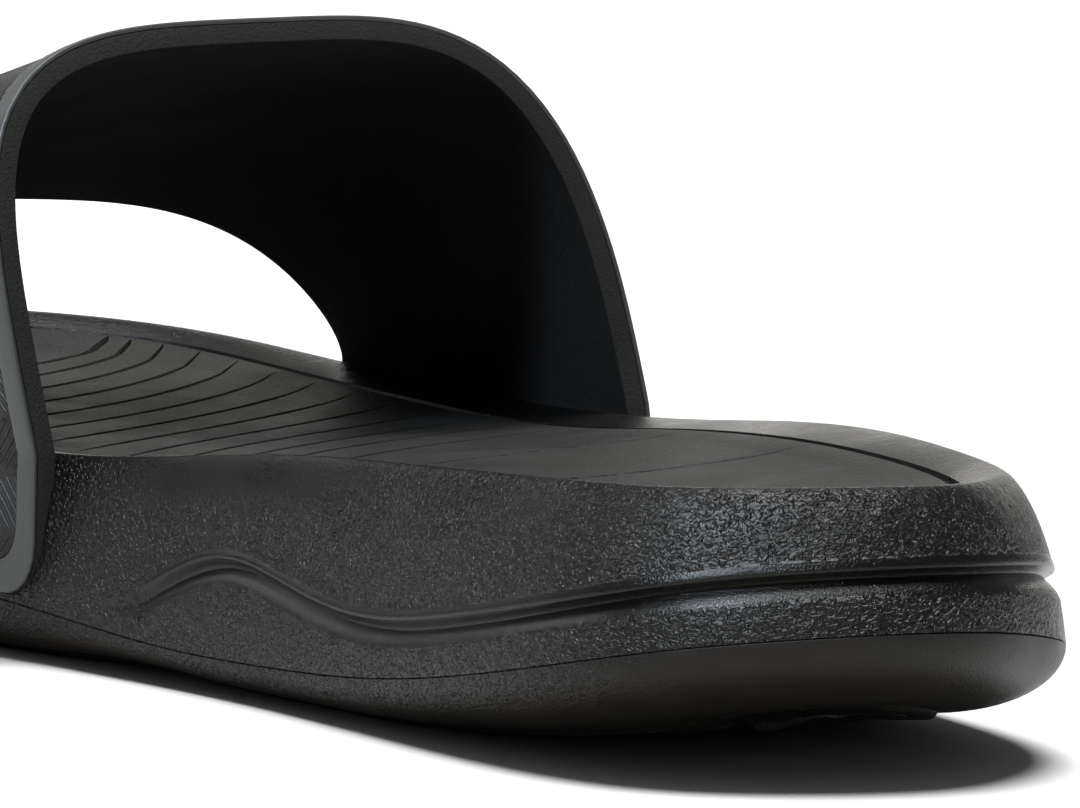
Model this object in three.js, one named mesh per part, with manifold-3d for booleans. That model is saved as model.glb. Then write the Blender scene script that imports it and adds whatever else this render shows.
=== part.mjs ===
// A sport slide sandal, right shoe, in millimetres.
// +Y points to the toe, +X to the outer (lateral) side and +Z up. The tread stands on z = 0.
// Tables hold shares of the driving sizes, so that the whole shoe follows when one of them changes.
import * as THREE from "three";
import Module from "manifold-3d";

const wasm = await Module();
wasm.setup();

// Driving sizes of the sole
const soleLength = 288;
const ballWidth = 106.4;
const rimHeight = 34.2;
const footbedThickness = 6;
const heelBevelRise = 8;
const toeSpring = 8;
const archRise = 2.2;
const channelDepth = 1.5;
const channelWidth = 4.4;
const beadRise = 0.45;
const perimeterGrooveDepth = 1;
const perimeterGrooveWidth = 2.1;
const footbedGrooveWidth = 1.7;
const footbedGrooveDepth = 0.9;
const treadPadStep = 0.8;
const treadGrooveWidth = 2.6;
const treadGrooveDepth = 1.6;
const treadPitch = 10.5;
const treadWaveHeight = 3;
const seamBevel = 0.5;

// Driving sizes of the strap
const strapWall = 2.4;
const strapBackArch = 50.9;
const strapFrontArch = 23.2;
const strapCornerRadius = 6.5;
const strapFootLift = 1;
const frameWidth = 3.6;
const frameThickness = 0.6;
const panelThickness = 0.4;

// Fits
const clearance = 0.3;
const cutOverrun = 3;

// Mesh density
const ringPoints = 84;
const outlineSamples = 480;
const turnSteps = 4;
const treadHalfWaves = 6;
const grooveSteps = 5;
const strapSteps = 24;
const strapColumns = 5;
const cornerSteps = 3;

const halfBall = ballWidth / 2;

// Sole outline: shares of the length from the heel, and of half the ball width to each side
const heelTip = { along: 0, across: -0.01 };
const toeTip = { along: 1, across: -0.06 };
const outlineTable = [
  { along: 0.022, medial: 0.45, lateral: 0.29 },
  { along: 0.073, medial: 0.645, lateral: 0.55 },
  { along: 0.149, medial: 0.705, lateral: 0.695 },
  { along: 0.25, medial: 0.705, lateral: 0.75 },
  { along: 0.354, medial: 0.71, lateral: 0.785 },
  { along: 0.472, medial: 0.78, lateral: 0.875 },
  { along: 0.597, medial: 0.9, lateral: 0.98 },
  { along: 0.722, medial: 0.996, lateral: 1.004 },
  { along: 0.833, medial: 0.957, lateral: 0.91 },
  { along: 0.92, medial: 0.773, lateral: 0.74 },
  { along: 0.979, medial: 0.455, lateral: 0.378 },
];

// Heights of the side at even steps from heel to toe, as shares of the rim height at the heel:
// the seam over the outsole, the crest of the rim and the edge of the footbed on each side,
// and how far the footbed dips between its two edges
const heightTable = [
  { seam: 0.538, rimMedial: 1.0, rimLateral: 1.0, bedMedial: 0.915, bedLateral: 0.915, dish: 0.0 },
  { seam: 0.39, rimMedial: 0.98, rimLateral: 0.975, bedMedial: 0.907, bedLateral: 0.92, dish: 0.03 },
  { seam: 0.272, rimMedial: 0.956, rimLateral: 0.975, bedMedial: 0.897, bedLateral: 0.935, dish: 0.065 },
  { seam: 0.19, rimMedial: 0.924, rimLateral: 0.985, bedMedial: 0.868, bedLateral: 0.945, dish: 0.065 },
  { seam: 0.152, rimMedial: 0.888, rimLateral: 0.955, bedMedial: 0.825, bedLateral: 0.92, dish: 0.04 },
  { seam: 0.143, rimMedial: 0.82, rimLateral: 0.895, bedMedial: 0.765, bedLateral: 0.865, dish: 0.015 },
  { seam: 0.19, rimMedial: 0.755, rimLateral: 0.835, bedMedial: 0.715, bedLateral: 0.8, dish: 0.01 },
  { seam: 0.24, rimMedial: 0.75, rimLateral: 0.79, bedMedial: 0.71, bedLateral: 0.752, dish: 0.015 },
  { seam: 0.246, rimMedial: 0.768, rimLateral: 0.762, bedMedial: 0.728, bedLateral: 0.725, dish: 0.02 },
  { seam: 0.252, rimMedial: 0.805, rimLateral: 0.77, bedMedial: 0.765, bedLateral: 0.735, dish: 0.025 },
  { seam: 0.275, rimMedial: 0.86, rimLateral: 0.805, bedMedial: 0.81, bedLateral: 0.768, dish: 0.025 },
  { seam: 0.33, rimMedial: 0.905, rimLateral: 0.87, bedMedial: 0.85, bedLateral: 0.825, dish: 0.015 },
  { seam: 0.41, rimMedial: 0.94, rimLateral: 0.94, bedMedial: 0.885, bedLateral: 0.885, dish: 0.0 },
];

// How far in from the outline the crest, the footbed's edge and the tread's edge lie,
// as shares of half the ball width, at the same steps
const insetTable = [
  { crestMedial: 0.15, crestLateral: 0.15, bedMedial: 0.24, bedLateral: 0.24, tread: 0.31 },
  { crestMedial: 0.145, crestLateral: 0.145, bedMedial: 0.235, bedLateral: 0.245, tread: 0.27 },
  { crestMedial: 0.12, crestLateral: 0.13, bedMedial: 0.225, bedLateral: 0.255, tread: 0.22 },
  { crestMedial: 0.095, crestLateral: 0.11, bedMedial: 0.222, bedLateral: 0.27, tread: 0.175 },
  { crestMedial: 0.08, crestLateral: 0.095, bedMedial: 0.222, bedLateral: 0.278, tread: 0.14 },
  { crestMedial: 0.075, crestLateral: 0.09, bedMedial: 0.222, bedLateral: 0.278, tread: 0.12 },
  { crestMedial: 0.075, crestLateral: 0.09, bedMedial: 0.222, bedLateral: 0.275, tread: 0.12 },
  { crestMedial: 0.075, crestLateral: 0.09, bedMedial: 0.22, bedLateral: 0.265, tread: 0.12 },
  { crestMedial: 0.075, crestLateral: 0.09, bedMedial: 0.218, bedLateral: 0.255, tread: 0.12 },
  { crestMedial: 0.08, crestLateral: 0.09, bedMedial: 0.215, bedLateral: 0.245, tread: 0.12 },
  { crestMedial: 0.085, crestLateral: 0.095, bedMedial: 0.212, bedLateral: 0.232, tread: 0.125 },
  { crestMedial: 0.1, crestLateral: 0.105, bedMedial: 0.215, bedLateral: 0.22, tread: 0.15 },
  { crestMedial: 0.115, crestLateral: 0.115, bedMedial: 0.22, bedLateral: 0.22, tread: 0.19 },
];

// The upper edge of the side channel, every 24th of the length from the heel:
// its height on each side as a share of the wall between seam and crest, and the share of the
// channel's depth
const waveTable = [
  { medial: 0.55, lateral: 0.55, depth: 1.0 },
  { medial: 0.45, lateral: 0.55, depth: 1.0 },
  { medial: 0.4, lateral: 0.5, depth: 0.95 },
  { medial: 0.365, lateral: 0.45, depth: 0.9 },
  { medial: 0.342, lateral: 0.41, depth: 0.85 },
  { medial: 0.33, lateral: 0.38, depth: 0.85 },
  { medial: 0.34, lateral: 0.37, depth: 0.85 },
  { medial: 0.392, lateral: 0.4, depth: 0.85 },
  { medial: 0.485, lateral: 0.485, depth: 0.85 },
  { medial: 0.55, lateral: 0.55, depth: 0.8 },
  { medial: 0.43, lateral: 0.43, depth: 0.65 },
  { medial: 0.19, lateral: 0.19, depth: 0.0 },
  { medial: 0.2, lateral: 0.2, depth: 0.0 },
];
const waveStep = 1 / 24;

// Curved grooves across the footbed: the share of the length from the heel at which each one
// crosses the medial edge, the middle and the lateral edge
const footbedGrooves = [
  { medial: 0.222, middle: 0.243, lateral: 0.275 },
  { medial: 0.312, middle: 0.389, lateral: 0.372 },
  { medial: 0.375, middle: 0.486, lateral: 0.545 },
  { medial: 0.43, middle: 0.528, lateral: 0.604 },
  { medial: 0.468, middle: 0.563, lateral: 0.65 },
  { medial: 0.494, middle: 0.594, lateral: 0.69 },
  { medial: 0.52, middle: 0.622, lateral: 0.729 },
  { medial: 0.545, middle: 0.649, lateral: 0.76 },
  { medial: 0.583, middle: 0.691, lateral: 0.805 },
  { medial: 0.635, middle: 0.724, lateral: 0.828 },
  { medial: 0.681, middle: 0.755, lateral: 0.85 },
  { medial: 0.719, middle: 0.784, lateral: 0.871 },
  { medial: 0.755, middle: 0.813, lateral: 0.89 },
  { medial: 0.792, middle: 0.844, lateral: 0.907 },
  { medial: 0.832, middle: 0.878, lateral: 0.923 },
];

// How far a groove reaches to the footbed's edges, and how wide its floor is against its mouth
const grooveReach = 0.86;
const grooveFloorShare = 0.25;

// Tread, as shares of the length: where the flat of the heel starts and ends, the same for the
// forefoot, and where the first and the last groove lie
const tread = { heelFrom: 0.29, heelTo: 0.36, foreFrom: 0.56, foreTo: 0.77 };
const heelBevelPower = 1.6;
const treadGrooves = { from: 0.07, to: 0.93 };
const treadReach = 0.72;
const edgeArchShare = 0.4;
const treadRoom = 9;

// The two free edges of the strap: where they meet each side of the sole as shares of the
// length, how square the arch is on each side, and the crown's shift as shares of the ball width
const strapEdges = {
  back: {
    medial: 0.51,
    lateral: 0.583,
    squareMedial: 4.2,
    squareLateral: 3.1,
    forward: 0.07,
    sideways: -0.082,
  },
  front: {
    medial: 0.859,
    lateral: 0.845,
    squareMedial: 4.0,
    squareLateral: 1.8,
    forward: -0.06,
    sideways: -0.042,
  },
};

// The upright share of the strap's length at each foot, and how far its middle bulges upwards
const strapFootShare = 0.085;
const crownSwell = 2;

const { clamp, lerp } = THREE.MathUtils;

// Zero at both ends of a span and one at its middle
const hump = (share) => 4 * share * (1 - share);

// Cubic B-spline weights of four neighbouring control values
function splineWeights(t) {
  const u = 1 - t;
  return [
    (u * u * u) / 6,
    (3 * t * t * t - 6 * t * t + 4) / 6,
    (3 * u * u * u - 6 * u * u + 4) / 6,
    (t * t * t) / 6,
  ];
}

// Moves each value away from its neighbours, so that the B-spline runs through the given ones
function sharpen(value, before, after) {
  return (4 / 3) * value - (before + after) / 6;
}

// A smooth curve through evenly spaced values, straight past its two ends
function smoothColumn(values) {
  const last = values.length - 1;
  const padded = (i) => {
    if (i < 0) {
      return values[0] + (values[0] - values[1]) * -i;
    }
    if (i > last) {
      return values[last] + (values[last] - values[last - 1]) * (i - last);
    }
    return values[i];
  };
  const control = (i) => sharpen(padded(i), padded(i - 1), padded(i + 1));
  return (position) => {
    const at = clamp(position, 0, last);
    const i = Math.min(Math.floor(at), last - 1);
    const weights = splineWeights(at - i);
    return weights.reduce((sum, weight, k) => sum + weight * control(i - 1 + k), 0);
  };
}

// Turns a table into one function of the share along the sole for each column
function columns(table, step, scale) {
  const result = {};
  for (const name of Object.keys(table[0])) {
    const column = smoothColumn(table.map((row) => row[name]));
    result[name] = (along) => column(along / step) * scale;
  }
  return result;
}

const stationStep = 1 / (heightTable.length - 1);
const heights = columns(heightTable, stationStep, rimHeight);
const insets = columns(insetTable, stationStep, halfBall);
const wave = columns(waveTable, waveStep, 1);

// The closed outline, counter-clockwise seen from above: heel, lateral side, toe, medial side
const outlineRows = [
  heelTip,
  ...outlineTable.map((row) => ({ along: row.along, across: row.lateral })),
  toeTip,
  ...[...outlineTable].reverse().map((row) => ({ along: row.along, across: -row.medial })),
];
const outlineKnots = outlineRows.map(
  (row) => new THREE.Vector2(row.across * halfBall, (row.along - 0.5) * soleLength),
);

function outlinePoint(position) {
  const count = outlineKnots.length;
  const knot = (i) => outlineKnots[(i + count) % count];
  const i = Math.floor(position);
  const point = new THREE.Vector2();
  splineWeights(position - i).forEach((weight, k) => {
    const here = knot(i - 1 + k);
    const before = knot(i - 2 + k);
    const after = knot(i + k);
    point.x += weight * sharpen(here.x, before.x, after.x);
    point.y += weight * sharpen(here.y, before.y, after.y);
  });
  return point;
}

// Evenly spaced points of one side of the outline, from heel to toe or back
function evenPoints(from, to, count) {
  const dense = [];
  for (let i = 0; i <= outlineSamples; i += 1) {
    dense.push(outlinePoint(lerp(from, to, i / outlineSamples)));
  }
  const travelled = [0];
  for (let i = 1; i < dense.length; i += 1) {
    travelled.push(travelled[i - 1] + dense[i].distanceTo(dense[i - 1]));
  }
  const points = [];
  let i = 0;
  for (let k = 0; k < count; k += 1) {
    const target = (travelled[outlineSamples] * k) / count;
    while (travelled[i + 1] < target) {
      i += 1;
    }
    const share = (target - travelled[i]) / (travelled[i + 1] - travelled[i]);
    points.push(dense[i].clone().lerp(dense[i + 1], share));
  }
  return points;
}

const tipKnots = { heel: 0, toe: outlineTable.length + 1, heelAgain: outlineKnots.length };
const lateralPoints = evenPoints(tipKnots.heel, tipKnots.toe, ringPoints / 2);
const medialPoints = evenPoints(tipKnots.toe, tipKnots.heelAgain, ringPoints / 2);

// The stations round the outline: point, outward normal, share along the sole and side
const stations = [...lateralPoints, ...medialPoints].map((point, i, all) => {
  const ahead = all[(i + 1) % ringPoints];
  const behind = all[(i + ringPoints - 1) % ringPoints];
  const tangent = ahead.clone().sub(behind).normalize();
  return {
    point,
    normal: new THREE.Vector2(tangent.y, -tangent.x),
    along: clamp(point.y / soleLength + 0.5, 0, 1),
    side: i < ringPoints / 2 ? "Lateral" : "Medial",
  };
});

const sidePoints = {
  Lateral: [...lateralPoints, medialPoints[0]],
  Medial: [...medialPoints, lateralPoints[0]],
};

// Where one side of the outline lies across the sole at a given y
function sideAt(y, side) {
  const points = sidePoints[side];
  for (let i = 1; i < points.length; i += 1) {
    const a = points[i - 1];
    const b = points[i];
    if ((a.y - y) * (b.y - y) <= 0 && a.y !== b.y) {
      return lerp(a.x, b.x, (y - a.y) / (b.y - a.y));
    }
  }
  return points[0].x;
}

// A ring of points round the sole, each set in from the outline and lifted as place says
function ring(place) {
  return stations.map((station) => {
    const { inset, z } = place(station);
    const x = station.point.x - station.normal.x * inset;
    const y = station.point.y - station.normal.y * inset;
    return new THREE.Vector3(x, y, z);
  });
}

// A closed body from its faces, given as triples of vertex numbers
function bodyOf(vertices, triangles) {
  const geometry = new THREE.BufferGeometry();
  const flat = vertices.flatMap((vertex) => [vertex.x, vertex.y, vertex.z]);
  geometry.setAttribute("position", new THREE.Float32BufferAttribute(flat, 3));
  geometry.setIndex(triangles.flat());
  return geometry;
}

// Stacks rings into a closed body. Its two ends are strips between points at equal stations.
function loft(rings) {
  const count = rings[0].length;
  const triangles = [];
  const quad = (a, b, c, d) => triangles.push([a, b, c], [a, c, d]);
  for (let j = 0; j + 1 < rings.length; j += 1) {
    for (let i = 0; i < count; i += 1) {
      const next = (i + 1) % count;
      const low = j * count;
      const high = low + count;
      quad(low + i, low + next, high + next, high + i);
    }
  }
  const top = (rings.length - 1) * count;
  for (let i = 0; i < count / 2; i += 1) {
    const right = [i, i + 1];
    const left = [(count - i) % count, count - i - 1];
    if (i > 0) {
      triangles.push([right[0], left[0], right[1]]);
      triangles.push([top + right[0], top + right[1], top + left[0]]);
    }
    if (right[1] !== left[1]) {
      triangles.push([right[1], left[0], left[1]]);
      triangles.push([top + right[1], top + left[1], top + left[0]]);
    }
  }
  return bodyOf(rings.flat(), triangles);
}

// A closed body between two equal grids of points, the second one on its outer side
function slab(low, high) {
  const rows = low.length;
  const width = low[0].length;
  const lift = rows * width;
  const at = (i, k) => i * width + k;
  const triangles = [];
  const quad = (a, b, c, d) => triangles.push([a, b, c], [a, c, d]);
  for (let i = 0; i + 1 < rows; i += 1) {
    for (let k = 0; k + 1 < width; k += 1) {
      quad(lift + at(i, k), lift + at(i + 1, k), lift + at(i + 1, k + 1), lift + at(i, k + 1));
      quad(at(i, k), at(i, k + 1), at(i + 1, k + 1), at(i + 1, k));
    }
  }
  const border = [];
  for (let i = 0; i < rows - 1; i += 1) {
    border.push(at(i, 0));
  }
  for (let k = 0; k < width - 1; k += 1) {
    border.push(at(rows - 1, k));
  }
  for (let i = rows - 1; i > 0; i -= 1) {
    border.push(at(i, width - 1));
  }
  for (let k = width - 1; k > 0; k -= 1) {
    border.push(at(0, k));
  }
  border.forEach((a, n) => {
    const b = border[(n + 1) % border.length];
    quad(a, b, lift + b, lift + a);
  });
  return bodyOf([...low.flat(), ...high.flat()], triangles);
}

function toSolid(geometry) {
  const vertProperties = new Float32Array(geometry.getAttribute("position").array);
  const triVerts = new Uint32Array(geometry.getIndex().array);
  return new wasm.Manifold(new wasm.Mesh({ numProp: 3, vertProperties, triVerts }));
}

function fromSolid(solid) {
  const mesh = solid.getMesh();
  const geometry = new THREE.BufferGeometry();
  geometry.setAttribute("position", new THREE.BufferAttribute(mesh.vertProperties, mesh.numProp));
  geometry.setIndex(new THREE.BufferAttribute(mesh.triVerts, 1));
  return geometry;
}

function cut(geometry, cutters) {
  const solid = cutters.reduce((body, cutter) => body.subtract(toSolid(cutter)), toSolid(geometry));
  return fromSolid(solid);
}

const sideHeight = (name, station) => heights[name + station.side](station.along);
const sideInset = (name, station) => insets[name + station.side](station.along);

// The underside: flat under heel and forefoot, raised at the heel's back, the waist and the toe
function treadHeight(along, archShare) {
  const heel = clamp((tread.heelFrom - along) / tread.heelFrom, 0, 1);
  const toe = clamp((along - tread.foreTo) / (1 - tread.foreTo), 0, 1);
  const waist = clamp((along - tread.heelTo) / (tread.foreFrom - tread.heelTo), 0, 1);
  const arch = Math.sin(Math.PI * waist) ** 2;
  return heelBevelRise * heel ** heelBevelPower + toeSpring * toe ** 2 + archRise * archShare * arch;
}

// The upper surface of the footbed at a point of the plan
function footbedHeight(x, y) {
  const along = clamp(y / soleLength + 0.5, 0, 1);
  const medial = sideAt(y, "Medial") + insets.bedMedial(along);
  const lateral = sideAt(y, "Lateral") - insets.bedLateral(along);
  const across = clamp((x - medial) / Math.max(lateral - medial, 1), 0, 1);
  const edge = lerp(heights.bedMedial(along), heights.bedLateral(along), across);
  return edge - heights.dish(along) * hump(across);
}

// The wall between seam and crest: the share of its inset that is a straight lean, and how
// high and how tightly the rest turns over into the crest
const wallLean = 0.3;
const wallShoulder = 2.2;
const wallRound = 0.625;

// The channel's largest share of the wall under its edge, the share of its width that the bead
// over it takes, and where in its width it is deepest
const channelLimit = 0.75;
const beadShare = 0.36;
const channelFloor = 0.6;

function wallInset(station, share) {
  const shoulder = 1 - (1 - share ** wallShoulder) ** wallRound;
  return sideInset("crest", station) * (wallLean * share + (1 - wallLean) * shoulder);
}

function channelAt(station) {
  const seam = heights.seam(station.along);
  const wall = sideHeight("rim", station) - seam;
  const rise = wall * wave[station.side.toLowerCase()](station.along);
  return { top: seam + rise, width: Math.min(channelWidth, rise * channelLimit), wall, seam };
}

// How deep the channel is cut at a share of its width below its upper edge, less the bead
function channelCut(station, fall) {
  const bead = beadRise * hump(clamp(fall / beadShare, 0, 1));
  const dip = clamp((fall - beadShare) / (channelFloor - beadShare), 0, 1);
  const past = clamp((fall - channelFloor) / (1 - channelFloor), 0, 1);
  const rising = Math.sin((Math.PI / 2) * dip);
  const fading = (1 + Math.cos(Math.PI * past)) / 2;
  return (channelDepth * Math.min(rising, fading) - bead) * Math.max(wave.depth(station.along), 0);
}

function outsole() {
  const treadInset = (station) => insets.tread(station.along);
  const rings = [
    ring((s) => ({ inset: treadInset(s) + treadRoom, z: treadHeight(s.along, 1) })),
    ring((s) => ({ inset: treadInset(s) + treadPadStep, z: treadHeight(s.along, edgeArchShare) })),
    ring((s) => ({ inset: treadInset(s), z: treadHeight(s.along, edgeArchShare) + treadPadStep })),
  ];
  for (let i = turnSteps - 1; i > 0; i -= 1) {
    const angle = (Math.PI / 2) * (i / turnSteps);
    rings.push(
      ring((s) => {
        const low = treadHeight(s.along, edgeArchShare) + treadPadStep;
        const high = heights.seam(s.along) - seamBevel;
        return { inset: treadInset(s) * (1 - Math.cos(angle)), z: lerp(high, low, Math.sin(angle)) };
      }),
    );
  }
  rings.push(ring((s) => ({ inset: 0, z: heights.seam(s.along) - seamBevel })));
  rings.push(ring((s) => ({ inset: seamBevel, z: heights.seam(s.along) - clearance / 2 })));
  return cut(loft(rings), treadCutters());
}

// Wavy grooves across the tread, under heel and forefoot
function treadCutters() {
  const cutters = [];
  const count = Math.floor(((treadGrooves.to - treadGrooves.from) * soleLength) / treadPitch);
  for (let n = 0; n <= count; n += 1) {
    const along = treadGrooves.from + (n * treadPitch) / soleLength;
    const waist = along > tread.heelTo && along < tread.foreFrom;
    if (!waist) {
      const y = (along - 0.5) * soleLength;
      const inset = insets.tread(along);
      const medial = (sideAt(y, "Medial") + inset) * treadReach;
      const lateral = (sideAt(y, "Lateral") - inset) * treadReach;
      const low = [];
      const high = [];
      for (let i = 0; i <= treadHalfWaves; i += 1) {
        const x = lerp(medial, lateral, i / treadHalfWaves);
        const middle = y + (i % 2 === 0 ? -treadWaveHeight / 2 : treadWaveHeight / 2);
        const floor = treadHeight(clamp(middle / soleLength + 0.5, 0, 1), edgeArchShare);
        const edges = [middle - treadGrooveWidth / 2, middle + treadGrooveWidth / 2];
        low.push(edges.map((edge) => new THREE.Vector3(x, edge, floor - cutOverrun)));
        high.push(edges.map((edge) => new THREE.Vector3(x, edge, floor + treadGrooveDepth)));
      }
      cutters.push(slab(low, high));
    }
  }
  return cutters;
}

// Rings round the midsole's wall: some down through the channel, as shares of its width below its
// edge, and some between its edge and the crest
const channelFalls = [1, (1 + channelFloor) / 2, channelFloor, beadShare, beadShare / 2, 0];
const upperWallRises = [0.3, 0.56, 0.76, 0.9];

// The crest of the rim: where the wall ends under it, how far in its top lies, and how high
// over the footbed's edge its inner side ends
const wallEnd = { share: 0.99, height: 0.995 };
const crestReach = 1.15;
const crestFall = 0.1;

function midsole() {
  const rings = [];
  const wallRing = (heightAt, carved) => {
    rings.push(
      ring((s) => {
        const channel = channelAt(s);
        const z = heightAt(channel);
        const share = clamp((z - channel.seam) / channel.wall, 0, 1);
        const fall = (channel.top - z) / channel.width;
        return { inset: wallInset(s, share) + (carved ? channelCut(s, fall) : 0), z };
      }),
    );
  };
  rings.push(ring((s) => ({ inset: seamBevel, z: heights.seam(s.along) + clearance / 2 })));
  wallRing((c) => c.seam + seamBevel, false);
  for (const fall of channelFalls) {
    wallRing((c) => c.top - c.width * fall, true);
  }
  for (const rise of upperWallRises) {
    wallRing((c) => lerp(c.top, c.seam + c.wall, rise), false);
  }
  const grooveFloor = (s) => sideHeight("bed", s) - perimeterGrooveDepth;
  const grooveStart = (s) => sideInset("bed", s) - perimeterGrooveWidth / 2;
  rings.push(ring((s) => ({
    inset: wallInset(s, wallEnd.share),
    z: sideHeight("rim", s) * wallEnd.height,
  })));
  rings.push(ring((s) => ({
    inset: sideInset("crest", s) * crestReach,
    z: sideHeight("rim", s),
  })));
  rings.push(ring((s) => ({
    inset: grooveStart(s),
    z: lerp(sideHeight("bed", s), sideHeight("rim", s), crestFall),
  })));
  rings.push(ring((s) => ({ inset: sideInset("bed", s) - clearance, z: grooveFloor(s) })));
  rings.push(ring((s) => ({
    inset: sideInset("bed", s),
    z: sideHeight("bed", s) - footbedThickness - clearance,
  })));
  return cut(loft(rings), [strapEnvelope()]);
}

// Rings over the footbed: shares of the way from its edge to its middle line, and how much
// nearer to the middle of its length each one lies
const bedRings = [0.2, 0.45, 0.7];
const bedRingPull = 0.3;

function footbed() {
  const edge = (s) => sideInset("bed", s) + clearance;
  const rings = [
    ring((s) => ({ inset: edge(s), z: sideHeight("bed", s) - footbedThickness })),
    ring((s) => ({ inset: edge(s), z: sideHeight("bed", s) - perimeterGrooveDepth })),
    ring((s) => ({ inset: edge(s) + perimeterGrooveWidth / 2, z: sideHeight("bed", s) })),
  ];
  const rim = rings[rings.length - 1];
  for (const share of bedRings) {
    rings.push(
      rim.map((point) => {
        const y = point.y * (1 - share * bedRingPull);
        const middle = (sideAt(y, "Medial") + sideAt(y, "Lateral")) / 2;
        const x = lerp(point.x, middle, share);
        return new THREE.Vector3(x, y, footbedHeight(x, y));
      }),
    );
  }
  return cut(loft(rings), footbedGrooves.map(grooveCutter));
}

// A groove with sloping sides along the curve through its three crossings
function grooveCutter(row) {
  const low = [];
  const high = [];
  const halfMouth = footbedGrooveWidth / 2;
  const halfFloor = halfMouth * grooveFloorShare;
  const halfLid = 2 * halfMouth - halfFloor;
  const bend = (row.medial + row.lateral) / 2 - row.middle;
  for (let i = 0; i <= grooveSteps; i += 1) {
    const t = lerp(-1, 1, i / grooveSteps);
    const along = row.middle + ((row.lateral - row.medial) / 2) * t + bend * t * t;
    const y = (along - 0.5) * soleLength;
    const medial = sideAt(y, "Medial") + insets.bedMedial(along);
    const lateral = sideAt(y, "Lateral") - insets.bedLateral(along);
    const x = lerp(medial, lateral, 0.5 + (t * grooveReach) / 2);
    const z = footbedHeight(x, y);
    const points = (half, lift) => [-half, half].map((d) => new THREE.Vector3(x, y + d, z + lift));
    low.push(points(halfFloor, -footbedGrooveDepth));
    high.push(points(halfLid, footbedGrooveDepth));
  }
  return slab(low, high);
}

// A point of the strap's outer face. u runs over the arch from the medial to the lateral foot,
// v from the back edge to the front edge.
function strapPoint(u, v) {
  const { back, front } = strapEdges;
  const mix = (name) => lerp(back[name], front[name], v);
  const footAt = (along, side) => {
    const y = (along - 0.5) * soleLength;
    const foot = heights.seam(along) + strapFootLift;
    return { x: sideAt(y, side), y, z: heights["rim" + side](along), foot };
  };
  const medial = footAt(mix("medial"), "Medial");
  const lateral = footAt(mix("lateral"), "Lateral");
  if (u < strapFootShare || u > 1 - strapFootShare) {
    const foot = u < 0.5 ? medial : lateral;
    const share = Math.min(u, 1 - u) / strapFootShare;
    return new THREE.Vector3(foot.x, foot.y, lerp(foot.foot, foot.z, share));
  }
  const angle = (Math.PI * (u - strapFootShare)) / (1 - 2 * strapFootShare);
  const cosine = Math.cos(angle);
  const sine = Math.sin(angle);
  const power = lerp(mix("squareMedial"), mix("squareLateral"), (1 - cosine) / 2);
  const reach = (Math.abs(cosine) ** power + Math.abs(sine) ** power) ** (-1 / power);
  const across = (1 - cosine * reach) / 2;
  const rise = sine * reach;
  const height = lerp(strapBackArch, strapFrontArch, v) + crownSwell * hump(v);
  return new THREE.Vector3(
    lerp(medial.x, lateral.x, across) + mix("sideways") * ballWidth * rise,
    lerp(medial.y, lateral.y, across) + mix("forward") * ballWidth * rise,
    lerp(medial.z, lateral.z, across) + height * rise,
  );
}

const normalStep = 0.004;

// A point at a distance from the strap's outer face, outwards where the distance is above zero
function strapOffset(u, v, offset) {
  const unit = (value) => clamp(value, 0, 1);
  const alongU = strapPoint(unit(u + normalStep), v).sub(strapPoint(unit(u - normalStep), v));
  const alongV = strapPoint(u, unit(v + normalStep)).sub(strapPoint(u, unit(v - normalStep)));
  const normal = alongU.cross(alongV).normalize();
  return strapPoint(u, v).addScaledVector(normal, offset);
}

// The strap's length over the arch, and its width at a place on it, both along the outer face
function strapGirth(v) {
  let girth = 0;
  for (let i = 0; i < strapSteps; i += 1) {
    girth += strapPoint(i / strapSteps, v).distanceTo(strapPoint((i + 1) / strapSteps, v));
  }
  return girth;
}

const middleGirth = strapGirth(0.5);
const strapWidthAt = (u) => strapPoint(u, 0).distanceTo(strapPoint(u, 1));

// A plate that follows the strap between two offsets from its outer face, set in from its edges,
// with round corners at its four feet
function strapPlate(setIn, cornerRadius, from, to) {
  const ends = [];
  for (let i = 0; i <= cornerSteps; i += 1) {
    const angle = (Math.PI / 2) * (i / cornerSteps);
    ends.push({
      travel: setIn + cornerRadius * (1 - Math.cos(angle)),
      narrow: cornerRadius * (1 - Math.sin(angle)),
    });
  }
  const rows = ends.map((end) => ({ u: end.travel / middleGirth, narrow: end.narrow }));
  for (let i = 0; i <= strapSteps; i += 1) {
    rows.push({ u: lerp(strapFootShare, 1 - strapFootShare, i / strapSteps), narrow: 0 });
  }
  for (const end of ends.reverse()) {
    rows.push({ u: 1 - end.travel / middleGirth, narrow: end.narrow });
  }
  const grid = (offset) =>
    rows.map((row) => {
      const margin = (setIn + row.narrow) / strapWidthAt(clamp(row.u, 0, 1));
      const points = [];
      for (let k = 0; k <= strapColumns; k += 1) {
        points.push(strapOffset(row.u, clamp(k / strapColumns, margin, 1 - margin), offset));
      }
      points[0] = strapOffset(row.u, margin, offset);
      points[strapColumns] = strapOffset(row.u, 1 - margin, offset);
      return points;
    });
  return slab(grid(from), grid(to));
}

// The room that the strap takes in the midsole's sides
function strapEnvelope() {
  return strapPlate(-clearance, strapCornerRadius + clearance, -strapWall - clearance, cutOverrun);
}

function strap() {
  return strapPlate(0, strapCornerRadius, -strapWall, 0);
}

const frameInnerRadius = Math.max(strapCornerRadius - frameWidth / 2, 2 * clearance);

function strapFrame() {
  const plate = strapPlate(0, strapCornerRadius, clearance, clearance + frameThickness);
  const window = strapPlate(frameWidth, frameInnerRadius, -cutOverrun, cutOverrun);
  return cut(plate, [window]);
}

function strapPanel() {
  const setIn = frameWidth + clearance;
  const radius = frameInnerRadius - clearance;
  return strapPlate(setIn, radius, clearance, clearance + panelThickness);
}

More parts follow.
